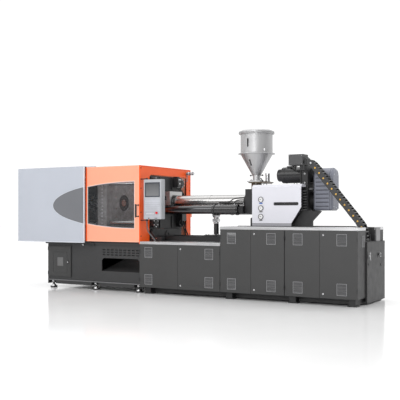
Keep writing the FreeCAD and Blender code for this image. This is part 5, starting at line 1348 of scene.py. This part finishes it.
def add_hopper_details():
    """Sight glasses with pressed borders, rolled rims, clamps, hinge and neck bolts."""
    add_curved_slot(2.375, 2.56, 0.066, 0.002, "hopper_slot_border", "hopper")
    add_curved_slot(2.395, 2.54, 0.026, 0.004, "hopper_slot_glass", "sight")
    add_curved_slot(2.085, 2.215, 0.05, 0.002, "cone_slot_border", "hopper")
    add_curved_slot(2.098, 2.202, 0.024, 0.004, "cone_slot_glass", "sight")
    rims = Shape()
    for z, radius in ((2.629, 0.2835), (2.3, 0.2915)):
        angles = [math.tau * step / 12 for step in range(12)]
        profile = [(z + 0.009 * math.sin(a), radius + 0.009 * math.cos(a)) for a in angles]
        rims.turned(profile, "z", (HOPPER_X, 0), 72)
    rims.done("hopper_rolled_rims", "hopper", "hopper")
    (Shape().block((HOPPER_X - 0.002, 0.2605, 2.312), (HOPPER_X + 0.002, 0.2635, 2.612))
     .done("hopper_weld_seam", "hopper", "hopper", 0.0005))
    clamp = Shape()
    for angle in (math.radians(-35), math.radians(145)):
        x = HOPPER_X + 0.262 * math.cos(angle)
        y = 0.262 * math.sin(angle)
        clamp.disc("z", 2.335, 2.375, (x, y), 0.011, 20, 0.2)
        clamp.ring("z", 2.345, 2.352, (x, y), 0.0112, 0.015, 20)
    clamp.done("hopper_clamps", "bright", "hopper")
    (Shape().tube([(HOPPER_X - 0.045, 0.296, 2.64), (HOPPER_X + 0.045, 0.296, 2.64)], 0.008, 16)
     .block((HOPPER_X - 0.03, 0.27, 2.61), (HOPPER_X + 0.03, 0.297, 2.634))
     .done("hopper_lid_hinge", "bright", "hopper", 0.0008))
    (Shape().bolt_circle("z", 1.8722, 1.886, (HOPPER_X, 0), 0.092, 4, 0.009)
     .done("hopper_base_bolts", "bright", "hopper", 0.0008))
    knobs = Shape()
    for side in (-1, 1):
        x = HOPPER_X + side * 0.098
        knobs.tube([(HOPPER_X + side * 0.06, 0, 1.95), (x, 0, 1.95)], 0.005, 10)
        knobs.disc("z", 1.938, 1.962, (x + side * 0.01, 0), 0.013, 20, 0.3)
    knobs.done("hopper_shutter_knobs", "black_plastic", "hopper")
    (Shape().turned([(2.6995, 0.0), (2.6995, 0.01), (2.693, 0.016), (2.686, 0.01), (2.686, 0.0)],
                    "z", (HOPPER_X, 0), 24)
     .done("hopper_lid_knob", "black_plastic", "lid"))


def add_slide_details():
    """The drain tube's rims, the clamp lever and the edge strip of the hopper slide."""
    tube = (1.43, 0)       # x and y of the drain tube
    (Shape().turned([(1.962, 0.0371), (1.962, 0.041), (1.974, 0.041), (1.98, 0.037), (1.978, 0.03), (1.972, 0.03),
                     (1.972, 0.0371)], "z", tube, 40)
     .turned([(1.8405, 0.0372), (1.8405, 0.048), (1.848, 0.048), (1.85, 0.0372)], "z", tube, 40)
     .done("drain_tube_rims", "bright", "carriage"))
    (Shape().tube([(1.385, -0.09, 1.8405), (1.385, -0.09, 1.862)], 0.009, 14)
     .tube([(1.385, -0.09, 1.86), (1.385, -0.15, 1.884)], 0.006, 12)
     .disc("z", 1.876, 1.894, (1.385, -0.152), 0.012, 20, 0.35)
     .done("slide_clamp_lever", "black_plastic", "carriage"))
    (Shape().block((1.142, -0.1155, 1.823), (1.475, -0.1185, 1.839))
     .hexagon("z", 1.8405, 1.852, grid((1.162, 1.455), (-0.095,)), 0.01)
     .done("slide_edge_strip", "bronze", "carriage", 0.0008))


MOTOR_Z = 1.936


def add_motor_details():
    """Ring lines, rear cap, terminal cover, studs and flange bolts of the drive motor."""
    centre = (0, MOTOR_Z)
    rings = Shape()
    for x in (1.76, 2.04, 2.1):
        rings.ring("x", x, x + 0.014, centre, 0.1281, 0.1315, 64)
    rings.turned([(1.6345, 0.06), (1.6345, 0.096), (1.648, 0.1), (1.712, 0.1), (1.712, 0.0961),
                  (1.638, 0.0961)], "x", centre, 64)
    rings.done("motor_rings", "motor", "carriage", 0.0008)
    (Shape().turned([(1.6351, 0.0), (1.6351, 0.066), (1.633, 0.068), (1.63, 0.058), (1.629, 0.0)], "x", centre, 48)
     .done("motor_rear_cap", "light_plastic", "carriage"))
    (Shape().prism(rectangle(1.792, 1.928, 2.072, 2.078, 0.002), "y", -0.068, 0.068)
     .disc("y", -0.0595, -0.078, (1.86, 2.056), 0.014, 20, 0.3)
     .done("motor_terminal_lid", "motor", "carriage", 0.002))
    (Shape().bolt_circle("x", 1.7135, 1.701, centre, 0.112, 6, 0.008)
     .bolt_circle("x", 2.1325, 2.12, centre, 0.148, 4, 0.011)
     .done("motor_studs", "black", "carriage", 0.001))


def belt_loop(grow):
    """Outline of the belt about its two pulleys, grown outwards."""
    low_r, high_r = 0.1252 + grow, 0.0627 + grow
    lean = math.asin((low_r - high_r) / (MOTOR_Z - AXIS_Z))
    points = []
    for radius, level, start, sweep in ((low_r, AXIS_Z, lean + math.pi, math.pi - 2 * lean),
                                        (high_r, MOTOR_Z, -lean, math.pi + 2 * lean)):
        for share in shares(24):
            angle = start + sweep * share
            points.append((radius * math.cos(angle), level + radius * math.sin(angle)))
    return points


def add_drive_details():
    """Belt, fins, bearing housing and bolts of the drive plate, and the junction box's lid and leads."""
    (Shape().frame(belt_loop(0.006), belt_loop(0.0), "x", 2.364, 2.426)
     .done("drive_belt", "rubber", "carriage"))
    plate = Shape()
    for side, face, levels in ((-1, 0.2395, (1.25, 1.8, 1.94)), (1, 0.2995, (1.45, 1.65, 1.8, 1.94))):
        for z in levels:
            plate.hexagon("y", side * face, side * (face + 0.0125), (2.177, z), 0.016)
    plate.done("drive_plate_bolts", "bright", "carriage", 0.001)
    (Shape().block((2.2235, -0.205, 1.69), (2.282, 0.14, 1.72))
     .block((2.2235, -0.15, 1.8), (2.282, 0.14, 1.806))
     .done("housing_bridge", "bridge_grey", "carriage", 0.003))
    comb = Shape()
    for row in range(8):
        z = 1.375 + row * 0.041
        comb.block((2.135, -0.3, z), (2.215, -0.2395, z + 0.016))
    comb.done("housing_fins", "bridge_grey", "carriage", 0.002)
    housing = [(2.2225, 0.028), (2.2225, 0.118), (2.234, 0.118), (2.24, 0.092), (2.2825, 0.092), (2.2825, 0.028)]
    (Shape().turned(housing, "x", (0, MOTOR_Z), 56)
     .done("motor_bearing_housing", "casting", "carriage", 0.002))
    foot = Shape()
    for x in (1.985, 2.1, 2.235):
        foot.hexagon("z", 1.2105, 1.228, (x, -0.262), 0.014)
        foot.hexagon("z", 1.2105, 1.228, (x - 0.24, 0.262), 0.014)
    foot.done("rear_foot_bolts", "bright", "carriage", 0.001)
    (Shape().block((1.934, -0.3015, 1.15), (2.305, -0.3, 1.195))
     .done("rear_foot_strip", "black", "carriage", 0.0005))
    (Shape().prism(rectangle(1.964, 2.183, 2.077, 2.226, 0.006), "y", -0.3575, -0.362)
     .done("junction_box_lid", "box", "carriage", 0.002))
    (Shape().disc("y", -0.3618, -0.3645, grid((1.975, 2.172), (2.088, 2.215)), 0.005, 14, 0.35)
     .done("junction_box_screws", "bright", "carriage"))
    lead = Shape()
    points = [(2.03, -0.25, 2.0685), (2.026, -0.244, 2.046), (2.004, -0.205, 2.016), (1.96, -0.14, 2.02),
              (1.9, -0.09, 2.054), (1.862, -0.078, 2.056)]
    lead.tube(smooth_line(points, 6), 0.011, 12)
    points = [(2.095, -0.225, 2.0685), (2.098, -0.222, 2.03), (2.104, -0.22, 1.94), (2.106, -0.22, 1.85),
              (2.106, -0.22, 1.7765)]
    lead.tube(smooth_line(points, 6), 0.012, 12)
    lead.turned([(1.7785, 0.0121), (1.7785, 0.02), (1.79, 0.018), (1.79, 0.0121)], "z", (2.106, -0.22), 24)
    lead.done("motor_leads", "rubber", "carriage")


def add_belt_cover_details():
    """Pressed ribs on both sides, painted dark as the shadow lines under them, bevelled end ring and screws of the
    belt cover.
    """
    for side, name in ((-1, "front"), (1, "rear")):
        ribs = Shape()
        for row in range(8):
            z = 1.435 + row * 0.062
            outline = [(2.312, z), (2.322, z + 0.009), (2.52, z + 0.009),
                       (2.53, z), (2.52, z - 0.004), (2.322, z - 0.004)]
            ribs.prism(outline, "y", side * 0.1455, side * 0.1545)
        # the ribs take the dark seam colour as painted shadow lines
        ribs.done(f"belt_cover_rib_shadows_{name}", "cover_seam_and_rib_shade", "carriage", 0.002)
    (Shape().frame(belt_cover_outline(0.0015), belt_cover_outline(-0.004), "x", 2.54, 2.546)
     .frame(belt_cover_outline(0.003), belt_cover_outline(-0.004), "x", 2.286, 2.298)
     .done("belt_cover_seams", "cover_seam_and_rib_shade", "carriage"))
    bevel = Shape()
    first = belt_cover_outline(0.0)
    second = belt_cover_outline(-0.026)
    count = len(first)
    rings = []
    for level, outline in ((2.5595, first), (2.5845, second), (2.5595, second)):
        rings.append([bevel.bm.verts.new((level, y, z)) for y, z in outline])
    for k in range(3):
        a, b = rings[k], rings[(k + 1) % 3]
        for i in range(count):
            j = (i + 1) % count
            bevel.bm.faces.new((a[i], a[j], b[j], b[i]))
    bevel.done("belt_cover_bevel", "blue_grey", "carriage")
    places = [(-0.09, 1.43), (0.09, 1.43), (-0.08, 1.925), (0.08, 1.925), (0.0, 1.985), (0.0, 1.415)]
    (Shape().disc("x", 2.5895, 2.5935, places, 0.009, 18, 0.35)
     .done("belt_cover_screws", "trim", "carriage"))


def belt_cover_outline(grow):
    """The arched outline of the belt cover, grown outwards."""
    half, low, high = 0.146 + grow, 1.372 - grow, 2.03 + grow
    top, bottom = 0.136 + grow, 0.04 + grow
    points = []
    for cy, cz, radius, start in ((half - bottom, low + bottom, bottom, -90), (half - top, high - top, top, 0),
                                  (top - half, high - top, top, 90), (bottom - half, low + bottom, bottom, 180)):
        for step in range(9):
            angle = math.radians(start + 90 * step / 8)
            points.append((cy + radius * math.cos(angle), cz + radius * math.sin(angle)))
    return points


# ---------------------------------------------------------------- energy chain

CHAIN_ROUTE = ((2.222, 2.12), (2.305, 2.12), (3.135, 1.112), (3.14, 0.92))
CHAIN_BENDS = (0.15, 0.26)
CHAIN_Y = (-0.362, -0.212)
CHAIN_HALF = 0.05
CHAIN_LINKS = 15


def chain_line(step):
    """Points and headings along the chain's middle line: straight runs joined by tangent arcs."""
    spots = [Vector(p) for p in CHAIN_ROUTE]
    line = []
    start = spots[0]
    for before, corner, after, bend in zip(spots, spots[1:], spots[2:], CHAIN_BENDS):
        first = (corner - before).normalized()
        second = (after - corner).normalized()
        turn = first.angle(second)
        reach = bend * math.tan(turn / 2)
        entry, leave = corner - first * reach, corner + second * reach
        count = max(2, int((entry - start).length / step))
        line += [start.lerp(entry, i / count) for i in range(count)]
        inward = (second - first).normalized()
        hub = corner + inward * (bend / math.cos(turn / 2))
        arc = max(3, int(bend * turn / step))
        out = entry - hub
        sense = 1 if first.x * second.y - first.y * second.x > 0 else -1
        for i in range(arc):
            angle = sense * turn * i / arc
            line.append(hub + Vector((out.x * math.cos(angle) - out.y * math.sin(angle),
                                      out.x * math.sin(angle) + out.y * math.cos(angle))))
        start = leave
    count = max(2, int((spots[-1] - start).length / step))
    line += [start.lerp(spots[-1], i / count) for i in range(count + 1)]
    return line


def chain_joints():
    """Evenly spaced joint points along the chain's middle line."""
    line = chain_line(0.004)
    lengths = [0.0]
    for a, b in zip(line, line[1:]):
        lengths.append(lengths[-1] + (b - a).length)
    pitch = lengths[-1] / CHAIN_LINKS
    joints, k = [], 0
    for link in range(CHAIN_LINKS + 1):
        wanted = min(link * pitch, lengths[-1])
        while k < len(lengths) - 2 and lengths[k + 1] < wanted:
            k += 1
        share = (wanted - lengths[k]) / max(1e-9, lengths[k + 1] - lengths[k])
        joints.append(line[k].lerp(line[k + 1], min(1.0, max(0.0, share))))
    return joints


def link_outline(a, b, half, grow):
    """A link's side plate: a bar with round ends, from one joint to the next."""
    along = (b - a).normalized()
    up = Vector((-along.y, along.x))
    points = []
    for centre, start in ((b, -90), (a, 90)):
        for step in range(7):
            angle = math.radians(start + 180 * step / 6)
            points.append(centre + along * (math.cos(angle) * grow) + up * (math.sin(angle) * half))
    return [(p.x, p.y) for p in points]


def add_chain():
    """Side plates, pins and cross bars of the energy chain, bent between the bed and the carriage."""
    joints = chain_joints()
    plates, pins, bars, cables = Shape(), Shape(), Shape(), Shape()
    for number, (a, b) in enumerate(zip(joints, joints[1:])):
        lift = 0.004 if number % 2 else 0.0
        inner_a, inner_b = a.lerp(b, 0.1), a.lerp(b, 0.9)
        for y, side in ((CHAIN_Y[0], 1), (CHAIN_Y[1], -1)):
            plates.prism(link_outline(inner_a, inner_b, CHAIN_HALF - 0.004, 0.03), "y",
                         y + side * lift, y + side * (lift + 0.01))
        along = (b - a).normalized()
        up = Vector((-along.y, along.x))
        for share in (0.25, 0.75):
            centre = a.lerp(b, share)
            for level in (CHAIN_HALF - 0.008, 0.008 - CHAIN_HALF):
                mid = centre + up * level
                corners = [mid + along * s + up * t for s, t in rectangle(-0.01, 0.01, -0.0045, 0.0045)]
                bars.prism([(c.x, c.y) for c in corners], "y", CHAIN_Y[0] + 0.008, CHAIN_Y[1] - 0.008)
    first_pins = Shape()
    for joint in joints[1:-1]:
        holder = first_pins if joint is joints[1] else pins
        for y, side in ((CHAIN_Y[0], -1), (CHAIN_Y[1], 1)):
            profile = [(y + side * 0.0005, 0.0), (y + side * 0.0005, 0.014), (y + side * 0.0035, 0.013),
                       (y + side * 0.005, 0.009), (y + side * 0.005, 0.0)]
            holder.turned(profile, "y", (joint.x, joint.y), 24)
    line = chain_line(0.03)
    for y, radius, lift in ((-0.33, 0.012, 0.01), (-0.3, 0.015, -0.008),
                            (-0.268, 0.011, 0.008), (-0.24, 0.013, -0.004)):
        cables.tube([(p.x, y, p.y + lift) for p in line], radius, 10)
    made = [plates.done("cable_chain_links", "chain"), pins.done("cable_chain_pins", "pin_yellow"),
            first_pins.done("cable_chain_first_pins", "light_plastic"),
            bars.done("cable_chain_bars", "black"), cables.done("cable_chain_cables", "rubber")]
    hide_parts("cable_chain")
    for piece in made:
        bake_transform(piece)
    (Shape().block((2.2225, -0.372, 2.066), (2.25, -0.202, 2.174))
     .done("chain_top_bracket", "black", "carriage", 0.003))
    (Shape().block((3.082, -0.374, 0.9185), (3.196, -0.363, 1.02))
     .block((3.082, -0.211, 0.9185), (3.196, -0.2, 1.02))
     .done("chain_lower_bracket", "black", "root", 0.002))


# ---------------------------------------------------------------- hidden workings

def add_screw_flights():
    """The feed screw's helical flight inside the barrel."""
    flights = Shape()
    left, right = -0.35, 1.19
    pitch, root_r, tip_r, half = 0.06, 0.0295, 0.0299, 0.004
    turns = (right - left) / pitch
    count = int(turns * 20)
    rows = []
    for i in range(count + 1):
        angle = math.tau * turns * i / count
        x = left + (right - left) * i / count
        ring = []
        for dx, r in ((-half, root_r - 0.004), (half, root_r - 0.004), (half * 0.8, tip_r), (-half * 0.8, tip_r)):
            ring.append(flights.bm.verts.new((x + dx, r * math.cos(angle), AXIS_Z + r * math.sin(angle))))
        rows.append(ring)
    for a, b in zip(rows, rows[1:]):
        for k in range(4):
            j = (k + 1) % 4
            flights.bm.faces.new((a[k], a[j], b[j], b[k]))
    flights.bm.faces.new(rows[0])
    flights.bm.faces.new(rows[-1])
    flights.done("screw_flights", "steel", "screw")


# ---------------------------------------------------------------- put together

for add in (add_camera, add_conduit, add_world, add_lights, add_floor, finish_nodes, add_top_sheets,
            add_door_details, add_end_details, add_recess_details, add_clamp_bed_details, add_back_details,
            add_feet, add_shell_details, add_door_trim, add_end_panel_details, add_panel_details,
            add_platen_details, add_moving_platen_details, add_toggle_details, add_nozzle_guard_details,
            add_barrel_details, add_traverse_details, add_support_details, add_gauges, add_cover_details,
            add_hopper_details, add_slide_details, add_motor_details, add_drive_details,
            add_belt_cover_details, add_chain, add_screw_flights):
    add()
